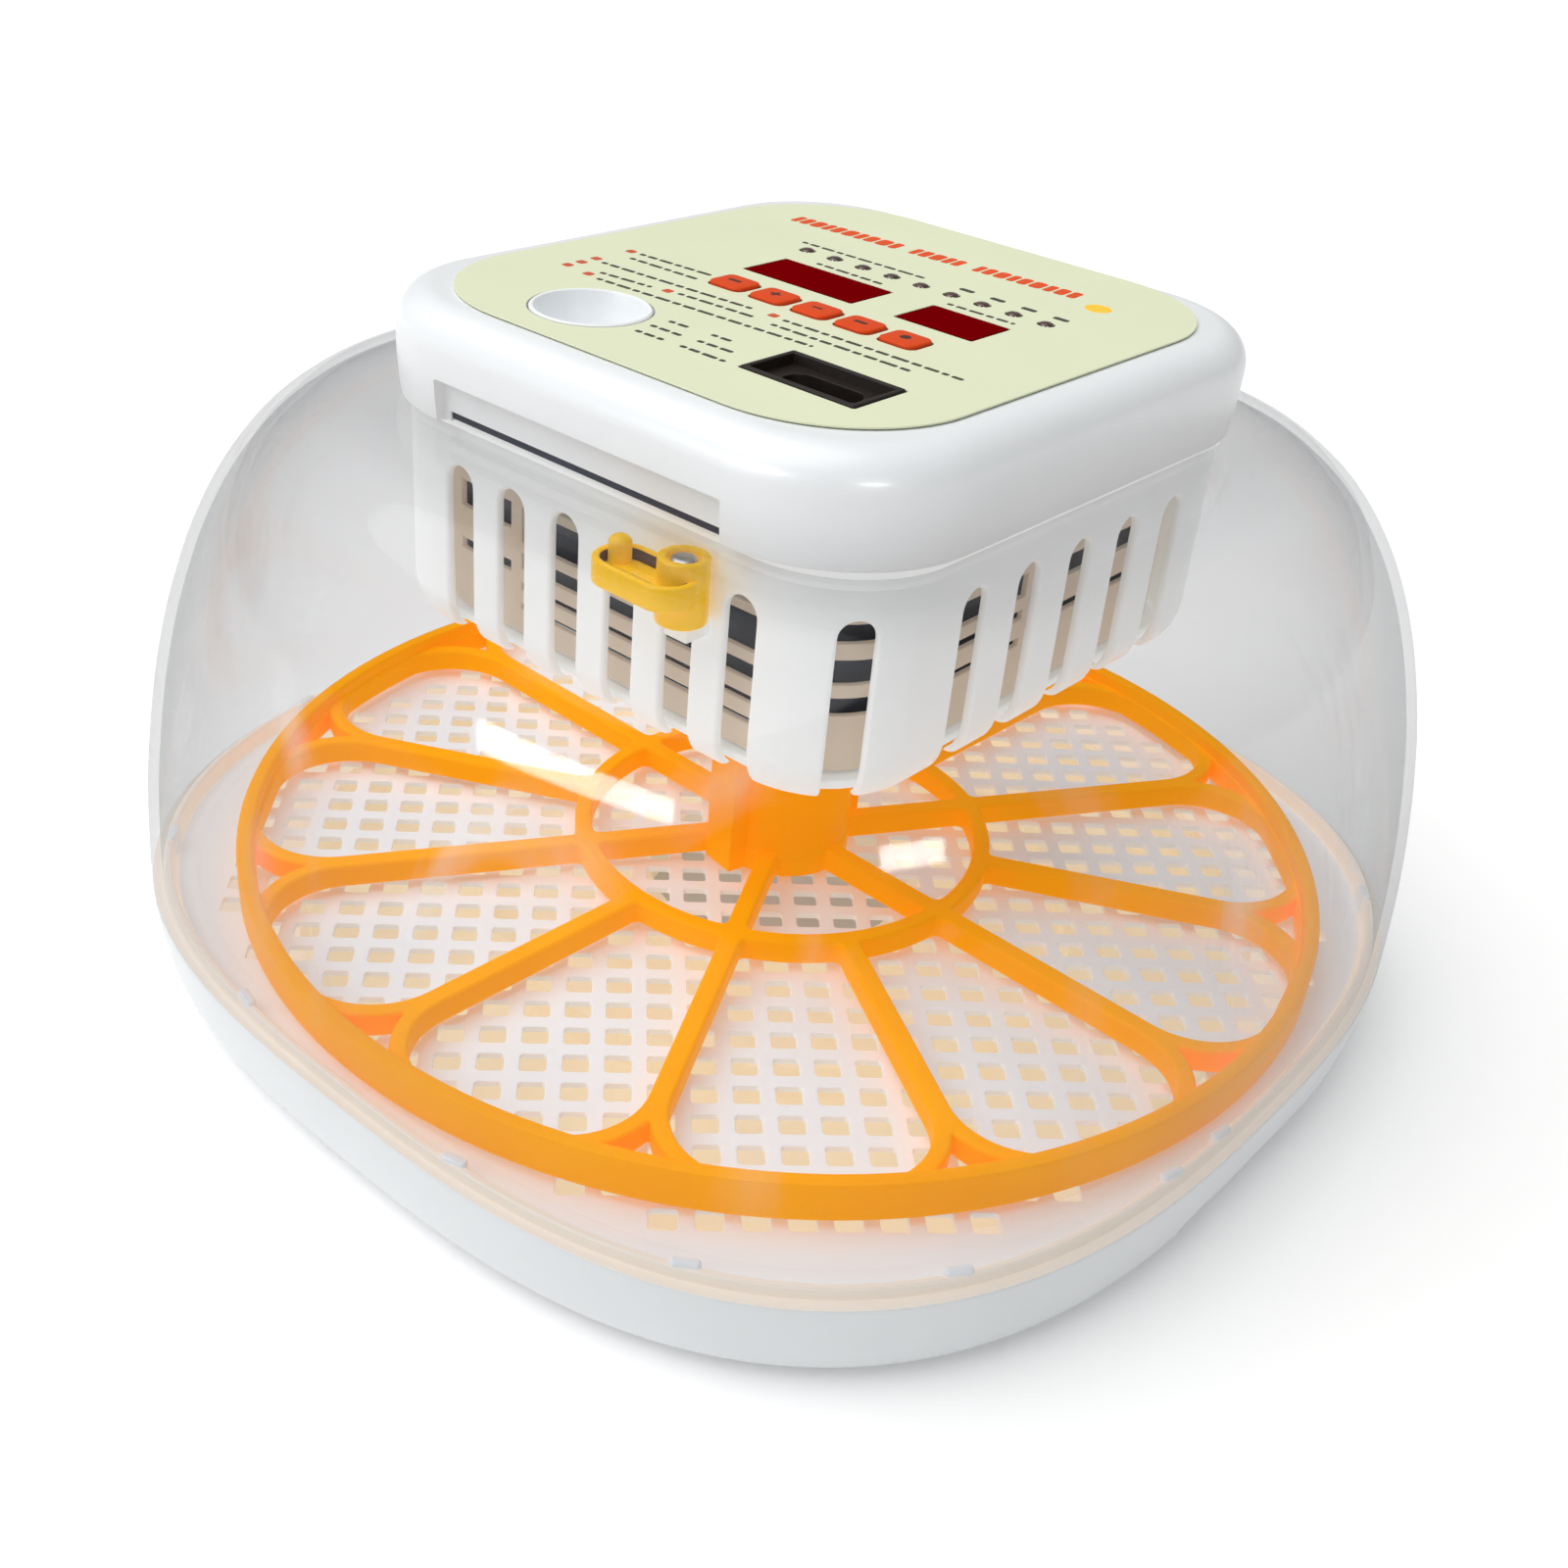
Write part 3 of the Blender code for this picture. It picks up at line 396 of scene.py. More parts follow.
def add_plate(bm, outlines, z0, z1, bevel=0.0, steps=2):
    """Adds a plate with holes from closed outlines, its edges rounded by bevel."""
    curve = bpy.data.curves.new("outline", "CURVE")
    curve.dimensions = "2D"
    curve.fill_mode = "BOTH"
    curve.extrude = (z1 - z0) / 2.0 - bevel
    curve.bevel_depth = bevel
    curve.bevel_resolution = steps
    curve.offset = -bevel
    for outline in outlines:
        spline = curve.splines.new("POLY")
        spline.points.add(len(outline) - 1)
        for point, (x, y) in zip(spline.points, outline):
            point.co = (x, y, 0.0, 1.0)
        spline.use_cyclic_u = True
    obj = add_object("outline", curve)
    graph = bpy.context.evaluated_depsgraph_get()
    mesh = bpy.data.meshes.new_from_object(obj.evaluated_get(graph))
    mesh.transform(Matrix.Translation((0.0, 0.0, (z0 + z1) / 2.0)))
    bm.from_mesh(mesh)
    bpy.data.objects.remove(obj, do_unlink=True)
    bpy.data.curves.remove(curve)
    bpy.data.meshes.remove(mesh)
    bmesh.ops.remove_doubles(bm, verts=bm.verts, dist=0.001)


def make(name, bm, mats, body, nodes, smooth, weighted=True):
    """Makes a piece from a mesh in millimetres, which rides on a body and stands for its nodes."""
    bmesh.ops.recalc_face_normals(bm, faces=bm.faces)
    bmesh.ops.scale(bm, vec=(MM, MM, MM), verts=bm.verts)
    mesh = bpy.data.meshes.new(name)
    bm.to_mesh(mesh)
    bm.free()
    mesh.shade_smooth()
    mesh.set_sharp_from_angle(angle=math.radians(smooth))
    obj = add_object(name, mesh)
    for mat in mats if isinstance(mats, (list, tuple)) else [mats]:
        mesh.materials.append(mat)
    if weighted:
        mod = obj.modifiers.new("normals", "WEIGHTED_NORMAL")
        mod.keep_sharp = True
    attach(obj, body)
    if nodes:
        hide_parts(*nodes)


def cut_with(bm, tool):
    """Returns the first mesh less the second, both in millimetres."""
    objects = []
    for part in (bm, tool):
        mesh = bpy.data.meshes.new("boolean")
        bmesh.ops.recalc_face_normals(part, faces=part.faces)
        part.to_mesh(mesh)
        part.free()
        objects.append(add_object("boolean", mesh))
    mod = objects[0].modifiers.new("cut", "BOOLEAN")
    mod.operation = "DIFFERENCE"
    mod.solver = "EXACT"
    mod.object = objects[1]
    graph = bpy.context.evaluated_depsgraph_get()
    done = bpy.data.meshes.new_from_object(objects[0].evaluated_get(graph))
    out = bmesh.new()
    out.from_mesh(done)
    bpy.data.meshes.remove(done)
    for obj in objects:
        mesh = obj.data
        bpy.data.objects.remove(obj, do_unlink=True)
        bpy.data.meshes.remove(mesh)
    return out


# ---- materials


def srgb(r, g, b):
    """A colour given in 0 to 255 steps, as linear light."""
    out = []
    for v in (r, g, b):
        c = v / 255.0
        out.append(c / 12.92 if c <= 0.04045 else ((c + 0.055) / 1.055) ** 2.4)
    return tuple(out)


def new_material(name):
    """A new material with its nodes and links."""
    mat = bpy.data.materials.new(name)
    mat.use_nodes = True
    return mat, mat.node_tree.nodes, mat.node_tree.links


def add_noise(nodes, links, vector, scale, detail=3.0, distortion=0.0):
    """A noise pattern over a set of coordinates."""
    noise = nodes.new("ShaderNodeTexNoise")
    noise.inputs["Scale"].default_value = scale
    noise.inputs["Detail"].default_value = detail
    noise.inputs["Distortion"].default_value = distortion
    links.new(vector, noise.inputs["Vector"])
    return noise.outputs["Fac"]


def add_range(nodes, links, value, low, high, start=0.3, end=0.7):
    """Spreads a value that runs from start to end between low and high."""
    node = nodes.new("ShaderNodeMapRange")
    node.inputs["From Min"].default_value = start
    node.inputs["From Max"].default_value = end
    node.inputs["To Min"].default_value = low
    node.inputs["To Max"].default_value = high
    links.new(value, node.inputs["Value"])
    return node.outputs["Result"]


def add_mix(nodes, links, share, first, second):
    """A colour between two others."""
    mix = nodes.new("ShaderNodeMix")
    mix.data_type = "RGBA"
    mix.inputs[6].default_value = (*first, 1.0)
    mix.inputs[7].default_value = (*second, 1.0)
    links.new(share, mix.inputs[0])
    return mix.outputs[2]


def add_bump(nodes, links, height, strength, distance):
    """A bumped surface direction from a height, with the distance in metres."""
    bump = nodes.new("ShaderNodeBump")
    bump.inputs["Strength"].default_value = strength
    bump.inputs["Distance"].default_value = distance
    links.new(height, bump.inputs["Height"])
    return bump.outputs["Normal"]


def add_facing(nodes, blend):
    """How far the surface is turned away from the eye."""
    node = nodes.new("ShaderNodeLayerWeight")
    node.inputs["Blend"].default_value = blend
    return node.outputs["Facing"]


def add_math(nodes, links, operation, *values):
    """A calculation on outputs and plain numbers."""
    node = nodes.new("ShaderNodeMath")
    node.operation = operation
    for socket, value in zip(node.inputs, values):
        if isinstance(value, bpy.types.NodeSocket):
            links.new(value, socket)
        else:
            socket.default_value = value
    return node.outputs["Value"]


def add_blend(nodes, links, *values):
    """A blend of two shaders: the second's share, then the two."""
    node = nodes.new("ShaderNodeMixShader")
    for socket, value in zip(node.inputs, values):
        links.new(value, socket)
    return node.outputs["Shader"]


def moulded(
    name, colour, rough, vary, grain, grain_scale=1400.0,
    metal=0.0, coat=0.0, shade=None, glow=0.0, gloss=0.5,
):
    """Moulded plastic or metal: faint patches of colour and gloss over a fine surface grain."""
    mat, nodes, links = new_material(name)
    shader = nodes["Principled BSDF"]
    coords = nodes.new("ShaderNodeTexCoord").outputs["Object"]
    patches = add_noise(nodes, links, coords, 34.0)
    dark = shade or tuple(c * (1.0 - vary * 2.0) for c in colour)
    light = tuple(min(c * (1.0 + vary * 0.5), 1.0) for c in colour)
    tone = add_mix(nodes, links, add_range(nodes, links, patches, 0.0, 1.0), dark, light)
    links.new(tone, shader.inputs["Base Color"])
    fine = add_noise(nodes, links, coords, grain_scale, 2.0)
    links.new(add_range(nodes, links, fine, rough - 0.04, rough + 0.05), shader.inputs["Roughness"])
    links.new(add_bump(nodes, links, fine, grain, 0.0002), shader.inputs["Normal"])
    shader.inputs["Metallic"].default_value = metal
    shader.inputs["Specular IOR Level"].default_value = gloss
    # glow is emission that paints light into a part that is no lamp; on the floor it only keeps the floor
    # evenly bright.
    if glow:
        shader.inputs["Emission Color"].default_value = (*colour, 1.0)
        shader.inputs["Emission Strength"].default_value = glow
    if coat:
        shader.inputs["Coat Weight"].default_value = coat
        shader.inputs["Coat Roughness"].default_value = 0.12
    return mat


def brushed(name, colour, rough):
    """Metal with a coarser grain than the plastics."""
    return moulded(name, colour, rough, 0.06, 0.1, 2200.0, metal=1.0)


def clear_shell(name):
    """Clear plastic: mirrors at a slant, lets the rest through and carries faint streaks of haze."""
    mat, nodes, links = new_material(name)
    nodes.remove(nodes["Principled BSDF"])
    coords = nodes.new("ShaderNodeTexCoord").outputs["Object"]
    through = nodes.new("ShaderNodeBsdfTransparent")
    tint = add_mix(nodes, links, add_facing(nodes, 0.3), (0.955, 0.956, 0.958), (0.72, 0.725, 0.73))
    links.new(tint, through.inputs["Color"])
    mirror = nodes.new("ShaderNodeBsdfGlossy")
    mirror.inputs["Color"].default_value = (1.0, 1.0, 1.0, 1.0)
    mirror.inputs["Roughness"].default_value = 0.05
    waves = add_noise(nodes, links, coords, 9.0, 2.0, 0.6)
    links.new(add_bump(nodes, links, waves, 0.5, 0.004), mirror.inputs["Normal"])
    haze = nodes.new("ShaderNodeBsdfDiffuse")
    haze.inputs["Color"].default_value = (0.9, 0.9, 0.92, 1.0)
    stretch = nodes.new("ShaderNodeMapping")
    stretch.inputs["Rotation"].default_value = (0.5, 0.9, 0.3)
    stretch.inputs["Scale"].default_value = (1.0, 1.0, 0.3)
    links.new(coords, stretch.inputs["Vector"])
    streaks = add_noise(nodes, links, stretch.outputs["Vector"], 15.0, 5.0, 2.6)
    share = add_range(nodes, links, streaks, 0.0, 0.22, 0.55, 0.7)
    place = nodes.new("ShaderNodeSeparateXYZ")
    links.new(coords, place.inputs["Vector"])
    for start, end in HAZE_BELT:
        fade = add_range(nodes, links, place.outputs["Z"], 0.0, 1.0, start, end)
        share = add_math(nodes, links, "MULTIPLY", share, fade)
    veil = add_blend(nodes, links, share, through.outputs["BSDF"], haze.outputs["BSDF"])
    slant = add_math(nodes, links, "POWER", add_facing(nodes, 0.5), 4.0)
    mirrored = add_math(nodes, links, "MULTIPLY_ADD", slant, 0.28, 0.008)
    shell = add_blend(nodes, links, mirrored, veil, mirror.outputs["BSDF"])
    links.new(shell, nodes["Material Output"].inputs["Surface"])
    return mat


WHITE = moulded("white_moulding", srgb(243, 246, 248), 0.34, 0.012, 0.01, coat=0.15)
# The tub's white is a darker copy of the lid's white: painted shade on the tub.
TUB_WHITE_SHADED = moulded("tub_white_painted_shade", srgb(220, 223, 225), 0.34, 0.012, 0.01, coat=0.15)
# The cup's glow is painted light.
CUP_WHITE = moulded("cup_white", srgb(243, 246, 248), 0.42, 0.01, 0.01, glow=0.07, gloss=0.25)
# The glow on the cage, guard, shaft and bracket is painted light.
CAGE_WHITE = moulded("cage_moulding", srgb(238, 241, 241), 0.38, 0.015, 0.02, coat=0.1, glow=0.24)
# Inside of the tub and its ledge: a warm tan that paints the warm shade there, lifted by a painted glow.
TUB_INSIDE_SHADE_GLOW = moulded("tub_inside_shade_glow", srgb(230, 219, 207), 0.45, 0.02, 0.03, glow=0.4)
# The tray's glow is painted light, so that the grate's holes look lit.
TRAY = moulded("tray_moulding", srgb(232, 217, 190), 0.45, 0.02, 0.04, glow=0.34)
# The grate's glow is painted light.
GRATE = moulded("grate_moulding", srgb(240, 244, 249), 0.42, 0.015, 0.04, glow=0.16)
# The liner's glow is painted light, which lifts it out of the shade behind the slots.
LINER = moulded("liner_moulding", srgb(216, 200, 182), 0.5, 0.06, 0.05, glow=0.2)
# The orange's glow is painted light.
ORANGE = moulded(
    "orange_moulding", srgb(254, 170, 0), 0.4, 0.02, 0.02,
    shade=srgb(252, 160, 0), glow=0.3, gloss=0.05
)
# The yellow's glow is painted light.
YELLOW = moulded(
    "yellow_moulding", srgb(252, 200, 4), 0.28, 0.02, 0.02, coat=0.2,
    shade=srgb(246, 186, 2), glow=0.26, gloss=0.3
)
LABEL_FILM = moulded("label_film", srgb(231, 236, 203), 0.5, 0.01, 0.05, 900.0, gloss=0.3)
# The windows are unlit; their faint glow is painted light.
WINDOW_RED = moulded("window_red", srgb(112, 0, 4), 0.5, 0.05, 0.01, glow=0.1, gloss=0.0)
KEY_RED = moulded("key_red", srgb(226, 74, 16), 0.45, 0.03, 0.08, 1800.0, gloss=0.15)
LED_DARK = moulded("led_dark", srgb(74, 46, 34), 0.2, 0.1, 0.02, coat=0.5)
INLET_BLACK = moulded("inlet_black", srgb(40, 33, 29), 0.42, 0.08, 0.1, 1600.0, gloss=0.2)
# Dark navy that paints shade: the sheet behind the liner's windows and the strip in the gap under the
# lid's notch.
SHADE_DARK = moulded("painted_shade_dark", srgb(34, 40, 60), 0.6, 0.1, 0.05)
INK_ORANGE = moulded("ink_orange", srgb(232, 88, 40), 0.5, 0.04, 0.02, gloss=0.1)
INK_RED = moulded("ink_red", srgb(214, 84, 40), 0.5, 0.04, 0.02)
INK_GREY = moulded("ink_grey", srgb(66, 66, 52), 0.55, 0.06, 0.02)
# Black for the keys' printed signs, and for painted shade on the inside of the lever's dish.
INK_AND_SHADE_BLACK = moulded("ink_and_shade_black", srgb(70, 26, 14), 0.5, 0.05, 0.02)
METAL = brushed("plated_metal", (0.74, 0.72, 0.68), 0.26)
STEEL = brushed("steel_metal", (0.60, 0.60, 0.60), 0.36)
HEATER = brushed("heater_metal_look", (0.55, 0.52, 0.48), 0.42)
BOARD = moulded("board_green_look", srgb(40, 110, 66), 0.4, 0.12, 0.1, 700.0)
FAN_BLACK = moulded("fan_black", srgb(26, 28, 34), 0.42, 0.1, 0.1, 1500.0)
RUBBER = moulded("foot_rubber", srgb(46, 46, 46), 0.85, 0.1, 0.3, 900.0)
CLEAR = clear_shell("clear_dome_look")

CAD_LOOKS = (
    (TRAY, ("water_tray",)),
    (METAL, ("climate_probe",)),
    (BOARD, ("display_board", "power_board")),
    (INLET_BLACK, ("display_module_2", "display_module_3")),
    (CAGE_WHITE, ("drive_shaft", "vent_lever_bracket")),
    (FAN_BLACK, ("fan_frame", "fan_rotor", "transformer")),
    (HEATER, ("heater_ring",)),
    (STEEL, ("turning_motor", "cage_screw_1", "cage_screw_2", "cage_screw_3", "cage_screw_4")),
    (RUBBER, ("foot_1", "foot_2", "foot_3", "foot_4")),
)


def paint_frame():
    """Gives the CAD nodes that stay their finished materials."""
    for mat, nodes in CAD_LOOKS:
        for node in nodes:
            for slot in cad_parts[node].material_slots:
                slot.material = mat


# ---- base


def grip_inset(x, y, z):
    """Moves a point of the tub's outer skin inwards where a finger grip is."""
    if abs(y) >= GRIP_HALF_LENGTH or z >= GRIP_TOP:
        return x
    share = max(0.0, 1.0 - (z / GRIP_TOP) ** 1.6)
    inward = GRIP_DEPTH * share * math.cos(0.5 * math.pi * y / GRIP_HALF_LENGTH) ** 2
    edge = GRIP_EDGE * (1.0 - abs(y / GRIP_EDGE) ** PLAN_POWER) ** (1.0 / PLAN_POWER)
    limit = edge - inward - GRIP_WALL + GRIP_WALL * (z / GRIP_TOP) ** 2
    return math.copysign(min(abs(x), limit), x)


def build_tub():
    """The white tub: rounded underside, finger grips, seam, the ledge inside it and its nubs."""
    rings = []
    for k, (half, z) in enumerate(TUB_PROFILE):
        ring = super_ring(half, z)
        if k < TUB_OUTSIDE_LEVELS:
            ring = [(grip_inset(x, y, z), y, z) for x, y, z in ring]
        rings.append(ring)
    # Faces inside the seam take the tan, with its painted shade and painted glow.
    slots = [0 if k < TUB_OUTSIDE_LEVELS else 1 for k in range(len(TUB_PROFILE) - 1)]
    bm = bmesh.new()
    add_loft(bm, rings, slots=slots)
    # The nubs take the grate's material, whose glow is painted light.
    first = len(bm.faces)
    add_nubs(bm)
    paint_from(bm, first, 2)
    make("tub_shell", bm, [TUB_WHITE_SHADED, TUB_INSIDE_SHADE_GLOW, GRATE], "base", ["base_tub"], 30.0)


def add_nubs(bm):
    """The small locating nubs on the tub's lip, seen through the dome's foot."""
    for degrees in NUB_DEGREES:
        r = super_radius(math.radians(degrees), NUB_HALF)
        nub = rounded(r, 0.0, *NUB_SIZE, 3)
        add_plate(bm, [turned(nub, degrees)], SEAM_Z - 2.0, SEAM_Z + 3.2, 0.6)


def build_grate():
    """The egg grate: fine square holes set at 45 degrees inside a plain rim."""
    outlines = [super_outline(GRATE_HALF)]
    reach = int(1.3 * GRATE_REACH / GRATE_PITCH) + 2
    for i in range(-reach, reach + 1):
        for j in range(-reach, reach + 1):
            hole = rounded((i + 0.5) * GRATE_PITCH, (j + 0.5) * GRATE_PITCH, *GRATE_HOLE, 0.5, 1)
            hole = turned(hole, 45.0)
            if max(abs(x) ** PLAN_POWER + abs(y) ** PLAN_POWER for x, y in hole) < GRATE_REACH**PLAN_POWER:
                outlines.append(hole)
    bm = bmesh.new()
    add_plate(bm, outlines, GRATE_Z[1] - 1.6, GRATE_Z[1] - 0.1, 0.35, 1)
    lift = GRATE_Z[1] - 0.12
    rim = [(GRATE_HALF - 0.3, lift - 0.9), (GRATE_HALF - 0.5, lift - 0.3), (GRATE_HALF - 1.2, lift)]
    rim += [(GRATE_HALF - 4.0, lift + 0.1), (GRATE_HALF - 5.4, lift - 0.4)]
    add_loft(bm, [super_ring(a, z) for a, z in rim], caps=False)
    make("grate_plate", bm, GRATE, "base", ["egg_grate"], 40.0)


# ---- egg turner


def petal_outline():
    """Outline of one petal about the X axis."""
    half = math.pi / PETALS
    inside = TURNER_RADIUS - TURNER_BAND
    middle = inside - PETAL_CORNER
    lean = math.asin((PETAL_CORNER + SPOKE_WIDTH / 2.0) / middle)
    root = INNER_RING[1]
    start = half - math.asin(SPOKE_WIDTH / 2.0 / root)
    out = []
    for k in range(7):
        t = start * (1.0 - k / 3.0)
        out.append(polar(root, t))
    centre = half - lean
    sweep = half + math.pi / 2.0 - centre
    for side in (-1.0, 1.0):
        for k in range(15):
            t = centre + sweep * k / 14.0
            if side < 0.0:
                t = half + math.pi / 2.0 - sweep * k / 14.0
            x = middle * math.cos(centre) + PETAL_CORNER * math.cos(t)
            y = middle * math.sin(centre) + PETAL_CORNER * math.sin(t)
            out.append((x, side * y))
    return filleted(out, 3.0)


def web_outline():
    """Outline of the small triangle between two petals, about the X axis."""
    inside = TURNER_RADIUS - TURNER_BAND
    middle = inside - PETAL_CORNER
    lean = math.asin((PETAL_CORNER + SPOKE_WIDTH / 2.0) / middle)
    cx = middle * math.cos(lean)
    cy = middle * math.sin(lean)
    radius = PETAL_CORNER + BRANCH_WIDTH
    apex = cx + math.sqrt(radius**2 - cy**2)
    near = math.acos((middle**2 + inside**2 - radius**2) / (2.0 * middle * inside))
    corner = lean - near
    side = [(apex, 0.0)]
    a0 = math.atan2(-cy, apex - cx)
    a1 = math.atan2(inside * math.sin(corner) - cy, inside * math.cos(corner) - cx)
    for k in range(1, 9):
        t = a0 + (a1 - a0) * k / 8.0
        side.append((cx + radius * math.cos(t), cy + radius * math.sin(t)))
    out = [(x, -y) for x, y in side] + [(inside, 0.0)] + list(reversed(side[1:]))
    return filleted(out, 1.2)


def sector_outline():
    """Outline of one opening between two hub spokes, about the X axis."""
    out = []
    for radius, order in ((HUB_RADIUS + 0.4, 1), (INNER_RING[0], -1)):
        edge = math.radians(30.0) - math.asin(SPOKE_WIDTH / 2.0 / radius)
        for k in range(11):
            t = edge * order * (1.0 - k / 5.0)
            out.append(polar(radius, t))
    return filleted(out, 2.6)


def build_turner():
    """The orange turner: band, twelve petals, inner ring and tall hub with its lugs."""
    step = 360.0 / PETALS
    outlines = [circle(0, 0, TURNER_RADIUS - 1.2, 180)]
    for k in range(PETALS):
        outlines.append(turned(petal_outline(), SPOKE_START_DEG + step * (k + 0.5)))
        outlines.append(turned(web_outline(), SPOKE_START_DEG + step * k))
    for k in range(PETALS // 2):
        outlines.append(turned(sector_outline(), SPOKE_START_DEG + 2.0 * step * (k + 0.5)))
    bm = bmesh.new()
    add_plate(bm, outlines, TURNER_Z[0] + 0.2, SPOKE_TOP, 0.9, 3)
    low, high = TURNER_Z
    inner = TURNER_RADIUS - TURNER_BAND + 0.4
    outer = TURNER_RADIUS
    band = [(inner, low), (outer - 0.5, low), (outer, low + 0.5), (outer, high - 1.1)]
    band += [(outer - 0.35, high - 0.35), (outer - 1.1, high), (inner + 1.1, high)]
    band += [(inner + 0.35, high - 0.35), (inner, high - 1.1)]
    lathe(bm, band, count=180, loop=True)
    hub = [(HUB_RADIUS, low - 0.1), (HUB_RADIUS, HUB_TOP - 0.9), (HUB_RADIUS - 0.3, HUB_TOP - 0.25)]
    hub += [(HUB_RADIUS - 0.9, HUB_TOP), (HUB_BORE + 0.6, HUB_TOP)]
    hub += [(HUB_BORE, HUB_TOP - 0.6), (HUB_BORE, HUB_TOP - 22.0)]
    lathe(bm, hub, count=72)
    near, far, width = HUB_LUG
    for k in range(2):
        lug = rounded((near + far) / 2.0, 0.0, far - near, width, 0.5, 3)
        add_plate(bm, [turned(lug, HUB_LUG_DEG + 180.0 * k)], low + 0.05, HUB_TOP - 0.4, 0.45)
    make("turner_flower", bm, ORANGE, "turner", ["egg_turner"], 32.0)


# ---- dome


def dome_ring(half, z, blend):
    """One level of the dome, which turns from the tub's plan into the opening's."""
    grow = half - DOME_PROFILE[-1][0]
    size = (OPENING[0] + grow, OPENING[1] + grow, OPENING[2] + 1.2 * grow)
    out = []
    for t in angles(SEGMENTS):
        r = (1.0 - blend) * super_radius(t, half) + blend * rounded_radius(t, *size)
        out.append((*polar(r, t), z))
    return out


def build_dome():
    """The clear dome, with both faces of its wall."""
    levels = smooth_profile(DOME_PROFILE, 4)
    outer = []
    inner = []
    for i, (half, z, blend) in enumerate(levels):
        blend = min(max(blend, 0.0), 1.0)
        before = levels[max(i - 1, 0)]
        after = levels[min(i + 1, len(levels) - 1)]
        run = Vector((after[0] - before[0], after[1] - before[1])).normalized()
        outer.append(dome_ring(half, z, blend))
        inward = DOME_WALL * run.y if i < len(levels) - 1 else 0.0
        drop = -DOME_WALL * run.x if i > 0 else 0.0
        inner.append(dome_ring(half - max(inward, 0.0), z - max(drop, 0.0), blend))
    bm = bmesh.new()
    add_loft(bm, outer + inner[::-1], loop=True)
    make("dome_shell", bm, CLEAR, "cover", ["clear_dome"], 50.0, weighted=False)


# ---- control unit


def wall_path(size):
    """A rounded rectangle as a path that runs anticlockwise from the middle of its back.

    Returns its length, a point finder, where its sides and front corner start, and half of its straight
    parts with the length of a corner.
    """
    hx, hy, r = size
    a = hx - r
    b = hy - r
    q = 0.5 * math.pi * r
    legs = [
        (a, (0.0, hy), (-1.0, 0.0), None),
        (q, (-a, b), None, 90.0),
        (2 * b, (-hx, b), (0.0, -1.0), None),
        (q, (-a, -b), None, 180.0),
        (2 * a, (-a, -hy), (1.0, 0.0), None),
        (q, (a, -b), None, 270.0),
        (2 * b, (hx, -b), (0.0, 1.0), None),
        (q, (a, b), None, 0.0),
        (a, (a, hy), (-1.0, 0.0), None),
    ]
    total = sum(leg[0] for leg in legs)

    def find(s):
        """Point and outward normal at s along the path."""
        s = min(max(s, 0.0), total)
        for length, place, way, start in legs:
            if s <= length + 1e-9:
                break
            s -= length
        if way is not None:
            return (place[0] + way[0] * s, place[1] + way[1] * s), (way[1], -way[0])
        t = math.radians(start + 90.0 * s / length)
        n = (math.cos(t), math.sin(t))
        return (place[0] + r * n[0], place[1] + r * n[1]), n

    starts = {"left": a + q, "front": a + 2 * q + 2 * b, "corner": 3 * a + 2 * q + 2 * b}
    starts["right"] = 3 * a + 3 * q + 2 * b
    return total, find, starts, (a, b, q)


def slot_shape(place, width, bottom, top):
    """One upright slot with a round top, open below."""
    half = width / 2.0
    out = [(place - half, bottom), (place + half, bottom)]
    out += arc(place, top - half, half, 0.0, 180.0, 12)
    return out


def bottom_curve(z):
    """How far the cage's wall draws in towards its bottom edge."""
    low = CAGE_Z[0]
    u = max(0.0, (low + 8.0 - z) / 8.0)
    return 4.6 * (1.0 - math.sqrt(max(0.0, 1.0 - min(u, 0.98) ** 2)))


def build_cage():
    """The slotted housing that hangs in the dome, and its floor."""
    total, _, starts, (a, b, q) = wall_path(CAGE_OUTER)
    below = CAGE_Z[0] - 6.0
    slots = []
    first, pitch, count = SLOTS_FRONT
    for k in range(count):
        x = first + pitch * k
        slots.append(slot_shape(starts["front"] + a + x, SLOT_WIDTH, below, SLOT_TOP))
        slots.append(slot_shape(-x if x < 0.0 else total - x, SLOT_WIDTH, below, SLOT_TOP))
    first, pitch, count = SLOTS_SIDE
    for k in range(count):
        y = first + pitch * k
        slots.append(slot_shape(starts["right"] + b + y, SLOT_WIDTH, below, SLOT_TOP))
        slots.append(slot_shape(starts["left"] + b - y, SLOT_WIDTH, below, SLOT_TOP))
    slots.append(slot_shape(starts["corner"] + q * 0.56, SLOT_WIDTH, below, SLOT_TOP))
    cage = wrap_comb(CAGE_OUTER, slots, CAGE_WALL, 0.75, bottom_curve, CAGE_Z)
    floor = rounded_outline(shrink(CAGE_OUTER, 5.4))
    add_plate(cage, [floor, circle(0, 0, 44.0, 96)], CAGE_Z[0] + 0.5, CAGE_Z[0] + 2.3, 0.4)
    make("cage_housing", cage, CAGE_WHITE, "cover", ["vent_cage"], 34.0)


def wrap_comb(size, slots, thickness, bevel, inset, z_range):
    """A wall whose slots run out through its bottom edge."""
    total = wall_path(size)[0]
    z0, z1 = z_range
    comb = [(total + 5.0, z1), (-5.0, z1), (-5.0, z0)]
    for slot in sorted(slots, key=lambda p: p[0][0]):
        left, right, *top = slot
        comb.append((left[0], z0))
        comb += list(reversed(top))
        comb.append((right[0], z0))
    comb.append((total + 5.0, z0))
    return wrap_outline(size, [filleted(comb, 1.2, 3, 60.0)], thickness, bevel, inset, z_range)


